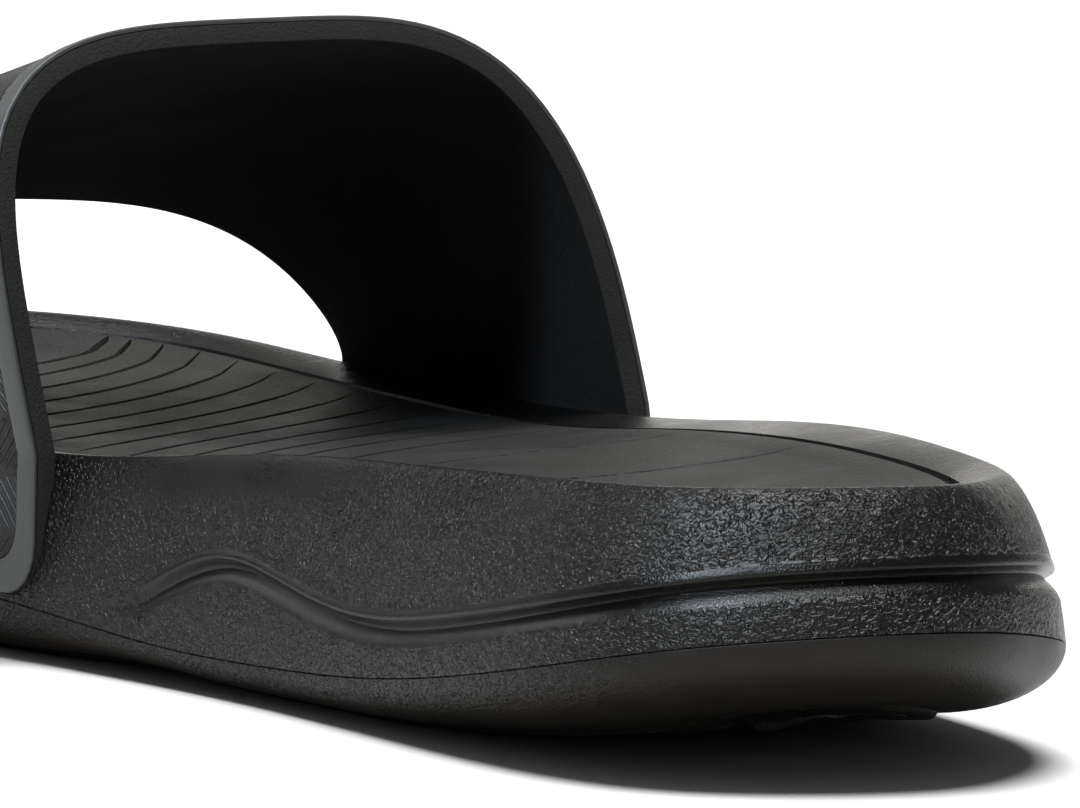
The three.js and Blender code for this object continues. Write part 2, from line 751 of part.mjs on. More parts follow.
const finishes = {
  sole: { color: 0x1c1c1a, roughness: 0.55, metalness: 0 },
  foam: { color: 0x1f1f1e, roughness: 0.6, metalness: 0 },
  pad: { color: 0x2a2926, roughness: 0.7, metalness: 0 },
  lining: { color: 0x101114, roughness: 0.9, metalness: 0 },
  border: { color: 0x34383a, roughness: 0.5, metalness: 0 },
  weave: { color: 0x17191b, roughness: 0.65, metalness: 0 },
};

function part(name, geometry, finish) {
  const mesh = new THREE.Mesh(geometry, new THREE.MeshStandardMaterial(finish));
  mesh.name = name;
  return mesh;
}

const sandal = new THREE.Group();
sandal.add(part("outsole", outsole(), finishes.sole));
sandal.add(part("midsole", midsole(), finishes.foam));
sandal.add(part("footbed", footbed(), finishes.pad));
sandal.add(part("strap", strap(), finishes.lining));
sandal.add(part("strap_frame", strapFrame(), finishes.border));
sandal.add(part("strap_panel", strapPanel(), finishes.weave));

// The origin is the middle of the footprint
const footprint = new THREE.Box3().setFromObject(sandal);
sandal.position.x = -(footprint.min.x + footprint.max.x) / 2;
sandal.position.y = -(footprint.min.y + footprint.max.y) / 2;
sandal.updateMatrixWorld(true);

export default sandal;
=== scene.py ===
"""A sport slide sandal, right shoe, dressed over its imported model.

Lengths are metres. +Y points to the toe, +X to the outer (lateral) side and +Z up. The tables hold
shares of the driving sizes, as the shoe's own pattern does, so the fine surfaces follow its solids.
"""

import logging
from dataclasses import dataclass, field
from enum import Enum
from typing import Callable, NamedTuple, Sequence

import bpy
import numpy as np
from mathutils import Matrix, Vector


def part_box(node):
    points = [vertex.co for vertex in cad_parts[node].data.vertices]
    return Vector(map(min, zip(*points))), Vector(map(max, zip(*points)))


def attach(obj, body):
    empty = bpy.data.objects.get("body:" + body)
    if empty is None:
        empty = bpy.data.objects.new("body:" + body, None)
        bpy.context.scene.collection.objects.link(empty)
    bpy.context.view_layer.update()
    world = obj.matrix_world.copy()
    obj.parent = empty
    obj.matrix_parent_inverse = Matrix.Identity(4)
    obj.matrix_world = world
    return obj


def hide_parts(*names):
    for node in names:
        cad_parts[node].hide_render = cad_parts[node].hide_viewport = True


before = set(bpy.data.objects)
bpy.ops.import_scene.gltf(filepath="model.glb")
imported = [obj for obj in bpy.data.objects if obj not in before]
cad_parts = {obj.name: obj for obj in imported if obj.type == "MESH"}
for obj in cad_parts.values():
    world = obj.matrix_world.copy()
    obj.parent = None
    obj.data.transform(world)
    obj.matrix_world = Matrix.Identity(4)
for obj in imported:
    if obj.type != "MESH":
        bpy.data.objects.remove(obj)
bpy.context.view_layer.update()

LOG = logging.getLogger("slide")
MM = 0.001
ROOT = "root"
SHARP_DEGREES = 50.0

Grid = np.ndarray
Column = Callable[[Grid], Grid]


class Side(Enum):
    """The two long sides of the shoe."""

    MEDIAL = "medial"
    LATERAL = "lateral"


class OutlineRow(NamedTuple):
    """How far each side reaches at a share of the length, as shares of half the ball width."""

    along: float
    medial: float
    lateral: float


class HeightRow(NamedTuple):
    """Heights as shares of the rim's height at the heel, at even steps from heel to toe."""

    seam: float
    rim_medial: float
    rim_lateral: float
    bed_medial: float
    bed_lateral: float
    dish: float


class InsetRow(NamedTuple):
    """Distances in from the outline as shares of half the ball width, at the same steps."""

    crest_medial: float
    crest_lateral: float
    bed_medial: float
    bed_lateral: float
    tread: float


class WaveRow(NamedTuple):
    """The side channel's upper edge as shares of the wall's height, and its share of the full depth."""

    top_medial: float
    top_lateral: float
    depth: float


class GrooveRow(NamedTuple):
    """Where a footbed groove crosses the medial edge, the middle and the lateral edge, along the length."""

    medial: float
    middle: float
    lateral: float


class StrapEdge(NamedTuple):
    """A free edge of the strap: its two feet along the length, its squareness and its crown's shift."""

    medial: float
    lateral: float
    square_medial: float
    square_lateral: float
    forward: float
    sideways: float


OUTLINE = (
    OutlineRow(0.022, 0.45, 0.29),
    OutlineRow(0.073, 0.645, 0.55),
    OutlineRow(0.149, 0.705, 0.695),
    OutlineRow(0.25, 0.705, 0.75),
    OutlineRow(0.354, 0.71, 0.785),
    OutlineRow(0.472, 0.78, 0.875),
    OutlineRow(0.597, 0.9, 0.98),
    OutlineRow(0.722, 0.996, 1.004),
    OutlineRow(0.833, 0.957, 0.91),
    OutlineRow(0.92, 0.773, 0.74),
    OutlineRow(0.979, 0.455, 0.378),
)
HEEL_TIP = (0.0, -0.01)
TOE_TIP = (1.0, -0.06)

HEIGHTS = (
    HeightRow(0.538, 1.0, 1.0, 0.915, 0.915, 0.0),
    HeightRow(0.39, 0.98, 0.975, 0.907, 0.92, 0.03),
    HeightRow(0.272, 0.956, 0.975, 0.897, 0.935, 0.065),
    HeightRow(0.19, 0.924, 0.985, 0.868, 0.945, 0.065),
    HeightRow(0.152, 0.888, 0.955, 0.825, 0.92, 0.04),
    HeightRow(0.143, 0.82, 0.895, 0.765, 0.865, 0.015),
    HeightRow(0.19, 0.755, 0.835, 0.715, 0.8, 0.01),
    HeightRow(0.24, 0.75, 0.79, 0.71, 0.752, 0.015),
    HeightRow(0.246, 0.768, 0.762, 0.728, 0.725, 0.02),
    HeightRow(0.252, 0.805, 0.77, 0.765, 0.735, 0.025),
    HeightRow(0.275, 0.86, 0.805, 0.81, 0.768, 0.025),
    HeightRow(0.33, 0.905, 0.87, 0.85, 0.825, 0.015),
    HeightRow(0.41, 0.94, 0.94, 0.885, 0.885, 0.0),
)

INSETS = (
    InsetRow(0.15, 0.15, 0.24, 0.24, 0.31),
    InsetRow(0.145, 0.145, 0.235, 0.245, 0.27),
    InsetRow(0.12, 0.13, 0.225, 0.255, 0.22),
    InsetRow(0.095, 0.11, 0.222, 0.27, 0.175),
    InsetRow(0.08, 0.095, 0.222, 0.278, 0.14),
    InsetRow(0.075, 0.09, 0.222, 0.278, 0.12),
    InsetRow(0.075, 0.09, 0.222, 0.275, 0.12),
    InsetRow(0.075, 0.09, 0.22, 0.265, 0.12),
    InsetRow(0.075, 0.09, 0.218, 0.255, 0.12),
    InsetRow(0.08, 0.09, 0.215, 0.245, 0.12),
    InsetRow(0.085, 0.095, 0.212, 0.232, 0.125),
    InsetRow(0.1, 0.105, 0.215, 0.22, 0.15),
    InsetRow(0.115, 0.115, 0.22, 0.22, 0.19),
)

WAVE = (
    WaveRow(0.55, 0.55, 1.0),
    WaveRow(0.485, 0.55, 1.0),
    WaveRow(0.43, 0.5, 0.95),
    WaveRow(0.385, 0.45, 0.9),
    WaveRow(0.352, 0.41, 0.85),
    WaveRow(0.33, 0.38, 0.85),
    WaveRow(0.34, 0.37, 0.85),
    WaveRow(0.392, 0.4, 0.85),
    WaveRow(0.485, 0.485, 0.85),
    WaveRow(0.55, 0.55, 0.8),
    WaveRow(0.43, 0.43, 0.65),
    WaveRow(0.19, 0.19, 0.0),
    WaveRow(0.2, 0.2, 0.0),
)
WAVE_STEP = 1 / 24

# The footbed's grooves: three of their own from the heel on, then a fan over the forefoot between
# its first and its last groove, which crowd towards the toe, most of all on the lateral side
HEEL_GROOVES = (
    GrooveRow(0.25, 0.275, 0.26),
    GrooveRow(0.34, 0.39, 0.38),
    GrooveRow(0.38, 0.485, 0.54),
)
FAN_START = GrooveRow(0.43, 0.53, 0.6)
FAN_END = GrooveRow(0.8, 0.86, 0.93)
FAN_CROWDING = GrooveRow(1.0, 1.1, 1.5)
FAN_COUNT = 12

BACK_EDGE = StrapEdge(0.51, 0.583, 4.2, 3.1, 0.07, -0.082)
FRONT_EDGE = StrapEdge(0.859, 0.845, 4.0, 1.8, -0.06, -0.042)


def lerp(start: Grid | float, end: Grid | float, share: Grid | float) -> Grid | float:
    """Returns the value a share of the way from start to end."""
    return start + (end - start) * share


def bed_grooves() -> list[GrooveRow]:
    """Returns every groove of the footbed, with the fan's worked out from its first and last.

    Returns:
        The grooves from heel to toe.
    """
    columns = []
    for first, last, crowding in zip(FAN_START, FAN_END, FAN_CROWDING):
        left = 1 - np.linspace(0, 1, FAN_COUNT)
        columns.append(lerp(first, last, 1 - left**crowding))
    return list(HEEL_GROOVES) + [GrooveRow(*row) for row in zip(*columns)]


def hump(share: Grid) -> Grid:
    """Returns zero at both ends of a span and one at its middle."""
    return 4 * share * (1 - share)


def ease(value: Grid, start: float, end: float) -> Grid:
    """Returns a smooth step from zero at start to one at end."""
    t = np.clip((value - start) / (end - start), 0, 1)
    return t * t * (3 - 2 * t)


def spline_weights(t: Grid) -> Grid:
    """Returns the cubic B-spline weights of four neighbouring control values.

    Args:
        t: How far each point lies past the second of its four values, from 0 to 1.

    Returns:
        The four weights, first value first.
    """
    u = 1 - t
    near = 3 * t**3 - 6 * t**2 + 4
    far = 3 * u**3 - 6 * u**2 + 4
    return np.stack([u**3, near, far, t**3]) / 6


def sharpen(value: Grid, before: Grid, after: Grid) -> Grid:
    """Moves values away from their neighbours, so that the B-spline runs through the given ones."""
    return 4 / 3 * value - (before + after) / 6


def smooth_column(values: Sequence[float]) -> Column:
    """Makes a smooth function through evenly spaced values.

    Args:
        values: The values at positions 0, 1, 2 and so on.

    Returns:
        A function of the position, straight past its two ends.
    """
    given = np.asarray(values, float)
    low = given[0] + (given[0] - given[1]) * np.array([2, 1])
    high = given[-1] + (given[-1] - given[-2]) * np.array([1, 2])
    padded = np.concatenate([low, given, high])
    control = sharpen(padded[1:-1], padded[:-2], padded[2:])
    last = len(given) - 1

    def column(position: Grid) -> Grid:
        """Returns the curve's value at a position.

        Args:
            position: Positions counted in values.

        Returns:
            The values there.
        """
        at = np.clip(position, 0, last)
        start = np.minimum(np.floor(at).astype(int), last - 1)
        return sum(w * control[start + k] for k, w in enumerate(spline_weights(at - start)))

    return column


@dataclass(frozen=True)
class Stations:
    """Points round the outline, anticlockwise from the heel's tip: lateral side first, then medial."""

    point: Grid
    normal: Grid
    along: Grid
    lateral: Grid


@dataclass
class SoleForm:
    """The form of the sole, worked out from its driving sizes and tables."""

    length: float = 288 * MM
    ball_width: float = 106.4 * MM
    rim_height: float = 34.2 * MM
    heel_bevel: float = 8 * MM
    heel_bevel_power: float = 1.6
    toe_spring: float = 8 * MM
    arch_rise: float = 2.2 * MM
    channel_depth: float = 1.5 * MM
    channel_width: float = 5.2 * MM
    channel_limit: float = 0.75
    bead_rise: float = 0.45 * MM
    bead_share: float = 0.28
    bead_turn: float = 4.0
    heel_bead_share: float = 0.2
    heel_bead_span: tuple[float, float] = (0.05, 0.22)
    channel_floor: float = 0.5
    wall_lean: float = 0.3
    wall_shoulder: float = 2.2
    wall_round: float = 0.625
    heel_flat: tuple[float, float] = (0.29, 0.36)
    fore_flat: tuple[float, float] = (0.56, 0.77)
    edge_arch_share: float = 0.4
    seam_bevel: float = 0.14 * MM
    seam_gap: float = 0.06 * MM
    seam_lip: tuple[float, float] = (0.25, 1.6)
    bed_thickness: float = 6 * MM
    rim_groove_depth: float = 0.9 * MM
    rim_groove_width: float = 1.4 * MM
    rim_groove_power: float = 4.0
    rim_groove_steps: int = 7
    fold_pull: float = 0.3
    side_stations: int = 300
    outline_density: int = 120
    shift: Grid = field(default_factory=lambda: np.zeros(2))

    def __post_init__(self) -> None:
        """Samples the outline densely and makes the smooth columns."""
        half = self.ball_width / 2
        step = 1 / (len(HEIGHTS) - 1)
        self.heights = self._columns(HEIGHTS, step, self.rim_height)
        self.insets = self._columns(INSETS, step, half)
        self.wave = self._columns(WAVE, WAVE_STEP, 1.0)
        lateral = [(row.along, row.lateral) for row in OUTLINE]
        medial = [(row.along, -row.medial) for row in reversed(OUTLINE)]
        rows = [HEEL_TIP, *lateral, TOE_TIP, *medial]
        self.knots = np.array([(across * half, self.y_at(along)) for along, across in rows])
        self._sample_sides()

    def along_at(self, y: Grid) -> Grid:
        """Returns the share of the length at a given y of the unshifted plan."""
        return np.clip(y / self.length + 0.5, 0, 1)

    def y_at(self, along: Grid | float) -> Grid | float:
        """Returns the y at a share of the length."""
        return (along - 0.5) * self.length

    @staticmethod
    def _columns(table: Sequence[NamedTuple], step: float, scale: float) -> dict[str, Column]:
        """Turns a table into one function of the share along the sole for each column.

        Args:
            table: Rows at even steps from the heel.
            step: The step between two rows, as a share of the length.
            scale: The size that the table's shares belong to.

        Returns:
            The functions by the name of their column.
        """
        made = {}
        for name in table[0]._fields:
            column = smooth_column([getattr(row, name) * scale for row in table])
            made[name] = lambda along, column=column: column(np.asarray(along) / step)
        return made

    def outline(self, position: Grid) -> Grid:
        """Returns points of the closed outline at positions counted in knots.

        Args:
            position: Positions counted in knots, from the heel's tip on.

        Returns:
            One point of the unshifted plan for each position.
        """
        count = len(self.knots)
        start = np.floor(position).astype(int)
        made = np.zeros((len(position), 2))
        for k, weight in enumerate(spline_weights(position - start)):
            here = self.knots[(start - 1 + k) % count]
            before = self.knots[(start - 2 + k) % count]
            after = self.knots[(start + k) % count]
            made += weight[:, None] * sharpen(here, before, after)
        return made

    def _sample_sides(self) -> None:
        """Splits the dense outline at its rearmost and foremost points into two sides."""
        count = len(self.knots)
        position = np.arange(count * self.outline_density) / self.outline_density
        points = self.outline(position)
        heel = int(np.argmin(points[:, 1]))
        toe = int(np.argmax(points[:, 1]))
        total = len(points)
        forward = np.arange(heel, heel + (toe - heel) % total + 1)
        backward = np.arange(heel, heel - (heel - toe) % total - 1, -1)
        self.side_samples = {}
        for side, order in ((Side.LATERAL, forward), (Side.MEDIAL, backward)):
            chosen = points[order % total]
            y = np.maximum.accumulate(chosen[:, 1])
            self.side_samples[side] = (y, chosen[:, 0], order / self.outline_density)

    def side_at(self, y: Grid, side: Side) -> Grid:
        """Returns where one side of the outline lies across the sole at a given y."""
        ys, xs, _ = self.side_samples[side]
        return np.interp(y, ys, xs)

    def stations(self) -> Stations:
        """Places the stations at equal y on both sides, closer together at the two tips.

        Returns:
            The stations, with as many on either side.
        """
        turn = np.pi * np.arange(self.side_stations) / self.side_stations
        share = (1 - np.cos(turn)) / 2
        positions = []
        for side, shares in ((Side.LATERAL, share), (Side.MEDIAL, 1 - share)):
            ys, _, places = self.side_samples[side]
            positions.append(np.interp(lerp(ys[0], ys[-1], shares), ys, places))
        position = np.concatenate(positions) % len(self.knots)
        point = self.outline(position)
        reach = 1 / self.outline_density
        tangent = self.outline(position + reach) - self.outline(position - reach)
        tangent /= np.linalg.norm(tangent, axis=1)[:, None]
        normal = np.stack([tangent[:, 1], -tangent[:, 0]], axis=1)
        along = self.along_at(point[:, 1])
        lateral = np.arange(len(point)) < self.side_stations
        return Stations(point, normal, along, lateral)

    def height(self, name: str, at: Stations) -> Grid:
        """Returns a height of the side that each station lies on."""
        return self._sided(self.heights, name, at)

    def inset(self, name: str, at: Stations) -> Grid:
        """Returns a distance in from the outline on the side that each station lies on."""
        return self._sided(self.insets, name, at)

    @staticmethod
    def _sided(columns: dict[str, Column], name: str, at: Stations) -> Grid:
        """Picks the lateral or the medial column for each station."""
        lateral = columns[name + "_lateral"](at.along)
        return np.where(at.lateral, lateral, columns[name + "_medial"](at.along))

    def ring(self, at: Stations, inset: Grid, z: Grid) -> Grid:
        """Returns a ring of points set in from the outline at the given heights."""
        flat = at.point - at.normal * np.broadcast_to(inset, at.along.shape)[:, None] + self.shift
        return np.column_stack([flat, np.broadcast_to(z, at.along.shape)])

    def fold(self, ring: Grid, shares: Sequence[float]) -> list[Grid]:
        """Draws a ring in towards the sole's middle line in steps, the last of which closes it.

        Args:
            ring: The ring to close, with its two sides' points paired.
            shares: The steps as shares of the way to the middle line.

        Returns:
            The rings in the same order.
        """
        pair = ring[(-np.arange(len(ring))) % len(ring)]
        middle = (ring + pair) / 2
        y = (middle[:, 1] - self.shift[1]) * (1 - self.fold_pull)
        middle[:, 0] = (self.side_at(y, Side.MEDIAL) + self.side_at(y, Side.LATERAL)) / 2 + self.shift[0]
        middle[:, 1] = y + self.shift[1]
        return [lerp(ring, middle, share) for share in shares]

    def tread_height(self, along: Grid, arch_share: float) -> Grid:
        """Returns the underside's height: flat under heel and forefoot, raised between and beyond.

        Args:
            along: Shares of the length.
            arch_share: How much of the arch's rise reaches these points.

        Returns:
            The heights over the floor.
        """
        heel = np.clip((self.heel_flat[0] - along) / self.heel_flat[0], 0, 1)
        toe = np.clip((along - self.fore_flat[1]) / (1 - self.fore_flat[1]), 0, 1)
        waist = np.clip((along - self.heel_flat[1]) / (self.fore_flat[0] - self.heel_flat[1]), 0, 1)
        arch = np.sin(np.pi * waist) ** 2
        lift = self.heel_bevel * heel**self.heel_bevel_power
        return lift + self.toe_spring * toe**2 + self.arch_rise * arch_share * arch

    def bar(self, line: Grid, corners: Sequence[tuple[Grid | float, Grid | float]]) -> Grid:
        """Returns the long lines of a bar along a line, one for each corner's shift along and up.

        Args:
            line: Points of the line in the unshifted plan.
            corners: How far along the shoe and up each corner lies off the line.

        Returns:
            One loop of points for each corner.
        """
        x, y, z = line.T
        loops = [np.column_stack([x + self.shift[0], y + dy + self.shift[1], z + dz]) for dy, dz in corners]
        return np.array(loops)

    def bed_span(self, y: Grid) -> tuple[Grid, Grid]:
        """Returns the footbed's medial and lateral edges across the sole at a given y.

        Args:
            y: Places along the unshifted plan.

        Returns:
            The x of the medial and of the lateral edge.
        """
        along = self.along_at(y)
        medial = self.side_at(y, Side.MEDIAL) + self.insets["bed_medial"](along)
        lateral = self.side_at(y, Side.LATERAL) - self.insets["bed_lateral"](along)
        return medial, lateral

    def bed_height(self, x: Grid, y: Grid) -> Grid:
        """Returns the footbed's surface at points of the unshifted plan.

        Args:
            x: Places across the unshifted plan.
            y: Places along it.

        Returns:
            The surface's heights there.
        """
        along = self.along_at(y)
        medial, lateral = self.bed_span(y)
        across = np.clip((x - medial) / np.maximum(lateral - medial, MM), 0, 1)
        edge = lerp(self.heights["bed_medial"](along), self.heights["bed_lateral"](along), across)
        return edge - self.heights["dish"](along) * hump(across)

    def wall_inset(self, at: Stations, share: Grid) -> Grid:
        """Returns how far in the wall lies at a share of its height between seam and crest.

        Args:
            at: The stations round the outline.
            share: Shares of the wall's height.

        Returns:
            The distances in from the outline.
        """
        share = np.clip(share, 0, 1)
        shoulder = 1 - (1 - share**self.wall_shoulder) ** self.wall_round
        return self.inset("crest", at) * (self.wall_lean * share + (1 - self.wall_lean) * shoulder)

    def channel(self, at: Stations) -> tuple[Grid, Grid, Grid, Grid]:
        """Returns the seam's height, the wall's height over it, and the channel's top and width.

        Args:
            at: The stations round the outline.

        Returns:
            The four measures at each station.
        """
        seam = self.heights["seam"](at.along)
        wall = self.height("rim", at) - seam
        rise = wall * self._sided(self.wave, "top", at)
        return seam, wall, seam + rise, np.minimum(self.channel_width, rise * self.channel_limit)

    def channel_cut(self, at: Stations, fall: Grid) -> Grid:
        """Returns the channel's depth at a share of its width below its edge, less the bead.

        Args:
            at: The stations round the outline.
            fall: Shares of the channel's width, counted down from its edge.

        Returns:
            How far in the wall moves.
        """
        slope = np.clip(fall / self.bead_share, 0, 1)
        turn = self.bead_turn
        peak = (1 / (turn + 1)) ** (1 / turn) * turn / (turn + 1)
        rise = self.bead_rise * lerp(self.heel_bead_share, 1.0, ease(at.along, *self.heel_bead_span))
        bead = rise * slope * (1 - slope**turn) / peak
        dip = np.clip((fall - self.bead_share) / (self.channel_floor - self.bead_share), 0, 1)
        past = np.clip((fall - self.channel_floor) / (1 - self.channel_floor), 0, 1)
        rising, fading = np.sin(np.pi / 2 * dip), (1 - past) ** 2
        depth = np.maximum(self.wave["depth"](at.along), 0)
        return (self.channel_depth * np.minimum(rising, fading) - bead) * depth


@dataclass
class StrapForm:
    """The strap's outer face. u runs over the arch from the medial foot, v from back to front."""

    sole: SoleForm
    wall: float = 2.4 * MM
    back_arch: float = 50.9 * MM
    front_arch: float = 23.2 * MM
    corner_radius: float = 6.5 * MM
    foot_lift: float = 1 * MM
    foot_share: float = 0.085
    crown_swell: float = 2 * MM
    normal_step: float = 0.002
    corner_steps: int = 12
    foot_rows: int = 14
    arch_rows: int = 150
    girth_samples: int = 400

    def __post_init__(self) -> None:
        """Measures the strap's length over its middle."""
        u = np.linspace(0, 1, self.girth_samples)
        path = self.point(u, np.full_like(u, 0.5))
        self.girth = float(np.linalg.norm(np.diff(path, axis=0), axis=1).sum())

    def _foot(self, along: Grid, side: Side) -> tuple[Grid, Grid, Grid, Grid]:
        """Returns where the strap meets one side: x, y, the rim's height and the foot's height.

        Args:
            along: Shares of the length.
            side: The side of the shoe.

        Returns:
            The four measures at each share.
        """
        y = self.sole.y_at(along)
        foot = self.sole.heights["seam"](along) + self.foot_lift
        return self.sole.side_at(y, side), y, self.sole.heights["rim_" + side.value](along), foot

    def point(self, u: Grid, v: Grid) -> Grid:
        """Returns points of the outer face.

        Args:
            u: Shares of the way over the arch, medial foot first.
            v: Shares of the way from the back edge to the front edge.

        Returns:
            One point for each pair.
        """
        def mix(name: str) -> Grid:
            """Returns a value of the two edges, mixed for each v."""
            return lerp(getattr(BACK_EDGE, name), getattr(FRONT_EDGE, name), v)

        mx, my, mz, mfoot = self._foot(mix("medial"), Side.MEDIAL)
        lx, ly, lz, lfoot = self._foot(mix("lateral"), Side.LATERAL)
        angle = np.pi * np.clip((u - self.foot_share) / (1 - 2 * self.foot_share), 0, 1)
        cosine, sine = np.cos(angle), np.sin(angle)
        power = lerp(mix("square_medial"), mix("square_lateral"), (1 - cosine) / 2)
        reach = (np.abs(cosine) ** power + np.abs(sine) ** power) ** (-1 / power)
        across, rise = (1 - cosine * reach) / 2, sine * reach
        height = lerp(self.back_arch, self.front_arch, v) + self.crown_swell * hump(v)
        arch = np.stack(
            [
                lerp(mx, lx, across) + mix("sideways") * self.sole.ball_width * rise,
                lerp(my, ly, across) + mix("forward") * self.sole.ball_width * rise,
                lerp(mz, lz, across) + height * rise,
            ],
            axis=-1,
        )
        share = np.minimum(u, 1 - u) / self.foot_share
        lateral = u > 0.5
        foot = np.stack(
            [
                np.where(lateral, lx, mx),
                np.where(lateral, ly, my),
                lerp(np.where(lateral, lfoot, mfoot), np.where(lateral, lz, mz), share),
            ],
            axis=-1,
        )
        return np.where((share < 1)[..., None], foot, arch)

    def offset(self, u: Grid, v: Grid, distance: Grid | float) -> Grid:
        """Returns points at a distance outwards from the outer face, in the shoe's frame.

        Args:
            u: Shares of the way over the arch, medial foot first.
            v: Shares of the way from the back edge to the front edge.
            distance: How far outwards each point lies.

        Returns:
            One point for each pair.
        """
        step = self.normal_step
        along_u = self.point(u + step, v) - self.point(u - step, v)
        along_v = self.point(u, v + step) - self.point(u, v - step)
        normal = np.cross(along_u, along_v)
        normal /= np.linalg.norm(normal, axis=-1)[..., None]
        made = self.point(u, v) + normal * np.asarray(distance)[..., None]
        made[..., :2] += self.sole.shift
        return made

    def width_at(self, u: Grid) -> Grid:
        """Returns the strap's width at places along it."""
        ends = [self.point(u, np.full_like(u, float(v))) for v in (0, 1)]
        return np.linalg.norm(ends[1] - ends[0], axis=-1)

    def rows(self, set_in: float, radius: float) -> tuple[Grid, Grid]:
        """Places the rows of a plate that is set in from the strap's edges, with round corners.

        Args:
            set_in: The distance in from the edges.
            radius: The radius of the four corners.

        Returns:
            Each row's u, and the share of the width that it leaves free at both ends.
        """
        angle = np.linspace(0, np.pi / 2, self.corner_steps + 1)
        ends = (set_in + radius * (1 - np.cos(angle))) / self.girth
        narrow = radius * (1 - np.sin(angle))
        foot = np.linspace(ends[-1], self.foot_share, self.foot_rows + 1)[1:-1]
        arch = np.linspace(self.foot_share, 1 - self.foot_share, self.arch_rows + 1)
        u = np.concatenate([ends, foot, arch, 1 - foot[::-1], 1 - ends[::-1]])
        plain = np.zeros(len(u) - 2 * len(ends))
        free = set_in + np.concatenate([narrow, plain, narrow[::-1]])
        return u, free / self.width_at(np.clip(u, 0, 1))

    def plate(self, set_in: float, radius: float, columns: int) -> tuple[Grid, Grid]:
        """Returns the u and v of a plate's grid of points, rows first.

        Args:
            set_in: The distance in from the strap's edges.
            radius: The radius of the four corners.
            columns: The steps across the strap.

        Returns:
            The two grids, one value for each point.
        """
        u, margin = self.rows(set_in, radius)
        v = lerp(margin[:, None], 1 - margin[:, None], np.linspace(0, 1, columns + 1)[None, :])
        return np.broadcast_to(u[:, None], v.shape), v

    def border(self, set_in: float, radius: float, columns: int) -> tuple[Grid, Grid]:
        """Returns the u and v of a plate's rim, once round it.

        Args:
            set_in: The distance in from the strap's edges.
            radius: The radius of the four corners.
            columns: The steps across the strap.

        Returns:
            The two loops, one value for each point.
        """
        u, v = self.plate(set_in, radius, columns)
        sides = [np.s_[:-1, 0], np.s_[-1, :-1], np.s_[:0:-1, -1], np.s_[0, :0:-1]]
        return np.concatenate([u[s] for s in sides]), np.concatenate([v[s] for s in sides])


def deselect() -> None:
    """Leaves edit mode and deselects every object."""
    if bpy.context.object and bpy.context.object.mode != "OBJECT":
        bpy.ops.object.mode_set(mode="OBJECT")
    bpy.ops.object.select_all(action="DESELECT")


def pick(piece: bpy.types.Object) -> None:
    """Makes one object the only selected and the active one.

    Args:
        piece: The object.
    """
    deselect()
    piece.select_set(True)
    bpy.context.view_layer.objects.active = piece


def primitive(name: str, add: Callable[..., set[str]], **sizes: float | int) -> bpy.types.Object:
    """Adds a primitive with nothing else selected.

    Args:
        name: The new object's name.
        add: The operator that adds it.
        **sizes: The operator's own settings.

    Returns:
        The new object.
    """
    deselect()
    add(**sizes)
    piece = bpy.context.object
    piece.name = name
    piece.data.name = name
    return piece


def vertices_of(piece: bpy.types.Object) -> Grid:
    """Returns the coordinates of a mesh's vertices.

    Args:
        piece: The mesh object.

    Returns:
        One row for each vertex.
    """
    flat = np.empty(len(piece.data.vertices) * 3)
    piece.data.vertices.foreach_get("co", flat)
    return flat.reshape(-1, 3)


def place_vertices(piece: bpy.types.Object, places: Grid) -> None:
    """Moves a mesh's vertices to their places."""
    piece.data.vertices.foreach_set("co", places.ravel())
    piece.data.update()


def mark(piece: bpy.types.Object, name: str, values: Grid) -> None:
    """Keeps a value for each vertex as a named attribute."""
    layer = piece.data.attributes.new(name, "FLOAT", "POINT")
    layer.data.foreach_set("value", np.asarray(values, np.float32))


def seal(piece: bpy.types.Object, gap: float = 0.004 * MM) -> None:
    """Merges what lies in one place and turns all the faces outwards.

    Args:
        piece: The mesh object.
        gap: The largest distance that still counts as one place.
    """
    pick(piece)
    bpy.ops.object.mode_set(mode="EDIT")
    bpy.ops.mesh.select_all(action="SELECT")
    bpy.ops.mesh.remove_doubles(threshold=gap)
    bpy.ops.mesh.normals_make_consistent(inside=False)
    bpy.ops.object.mode_set(mode="OBJECT")


def smooth(piece: bpy.types.Object, degrees: float = 40) -> None:
    """Shades a piece smooth, with the edges over an angle kept sharp."""
    pick(piece)
    bpy.ops.object.shade_smooth_by_angle(angle=np.radians(degrees))


def modify(piece: bpy.types.Object, kind: str, **settings: object) -> None:
    """Adds a modifier, sets it and applies it.

    Args:
        piece: The object to change.
        kind: The modifier's type.
        **settings: The modifier's own settings.
    """
    pick(piece)
    bpy.ops.object.modifier_add(type=kind)
    modifier = piece.modifiers[-1]
    for name, value in settings.items():
        setattr(modifier, name, value)
    bpy.ops.object.modifier_apply(modifier=modifier.name)


def round_edges(piece: bpy.types.Object, width: float, segments: int) -> None:
    """Rounds a piece's sharp edges."""
    limit = np.radians(SHARP_DEGREES)
    modify(piece, "BEVEL", width=width, segments=segments, limit_method="ANGLE", angle_limit=limit)


def carve(piece: bpy.types.Object, cutter: bpy.types.Object) -> None:
    """Cuts one closed piece out of another and drops the cutter."""
    modify(piece, "BOOLEAN", operation="DIFFERENCE", solver="MANIFOLD", object=cutter)
    bpy.data.objects.remove(cutter)


def join(pieces: Sequence[bpy.types.Object]) -> bpy.types.Object:
    """Joins some objects into the first one.

    Args:
        pieces: The objects, of which the first one stays.

    Returns:
        The joined object.
    """
    deselect()
    for piece in pieces:
        piece.select_set(True)
    bpy.context.view_layer.objects.active = pieces[0]
    bpy.ops.object.join()
    return pieces[0]


def spoke_of(x: Grid, y: Grid, count: int) -> Grid:
    """Returns which of some even spokes round the origin each point lies on."""
    return np.rint(np.arctan2(y, x) / (2 * np.pi) * count).astype(int) % count


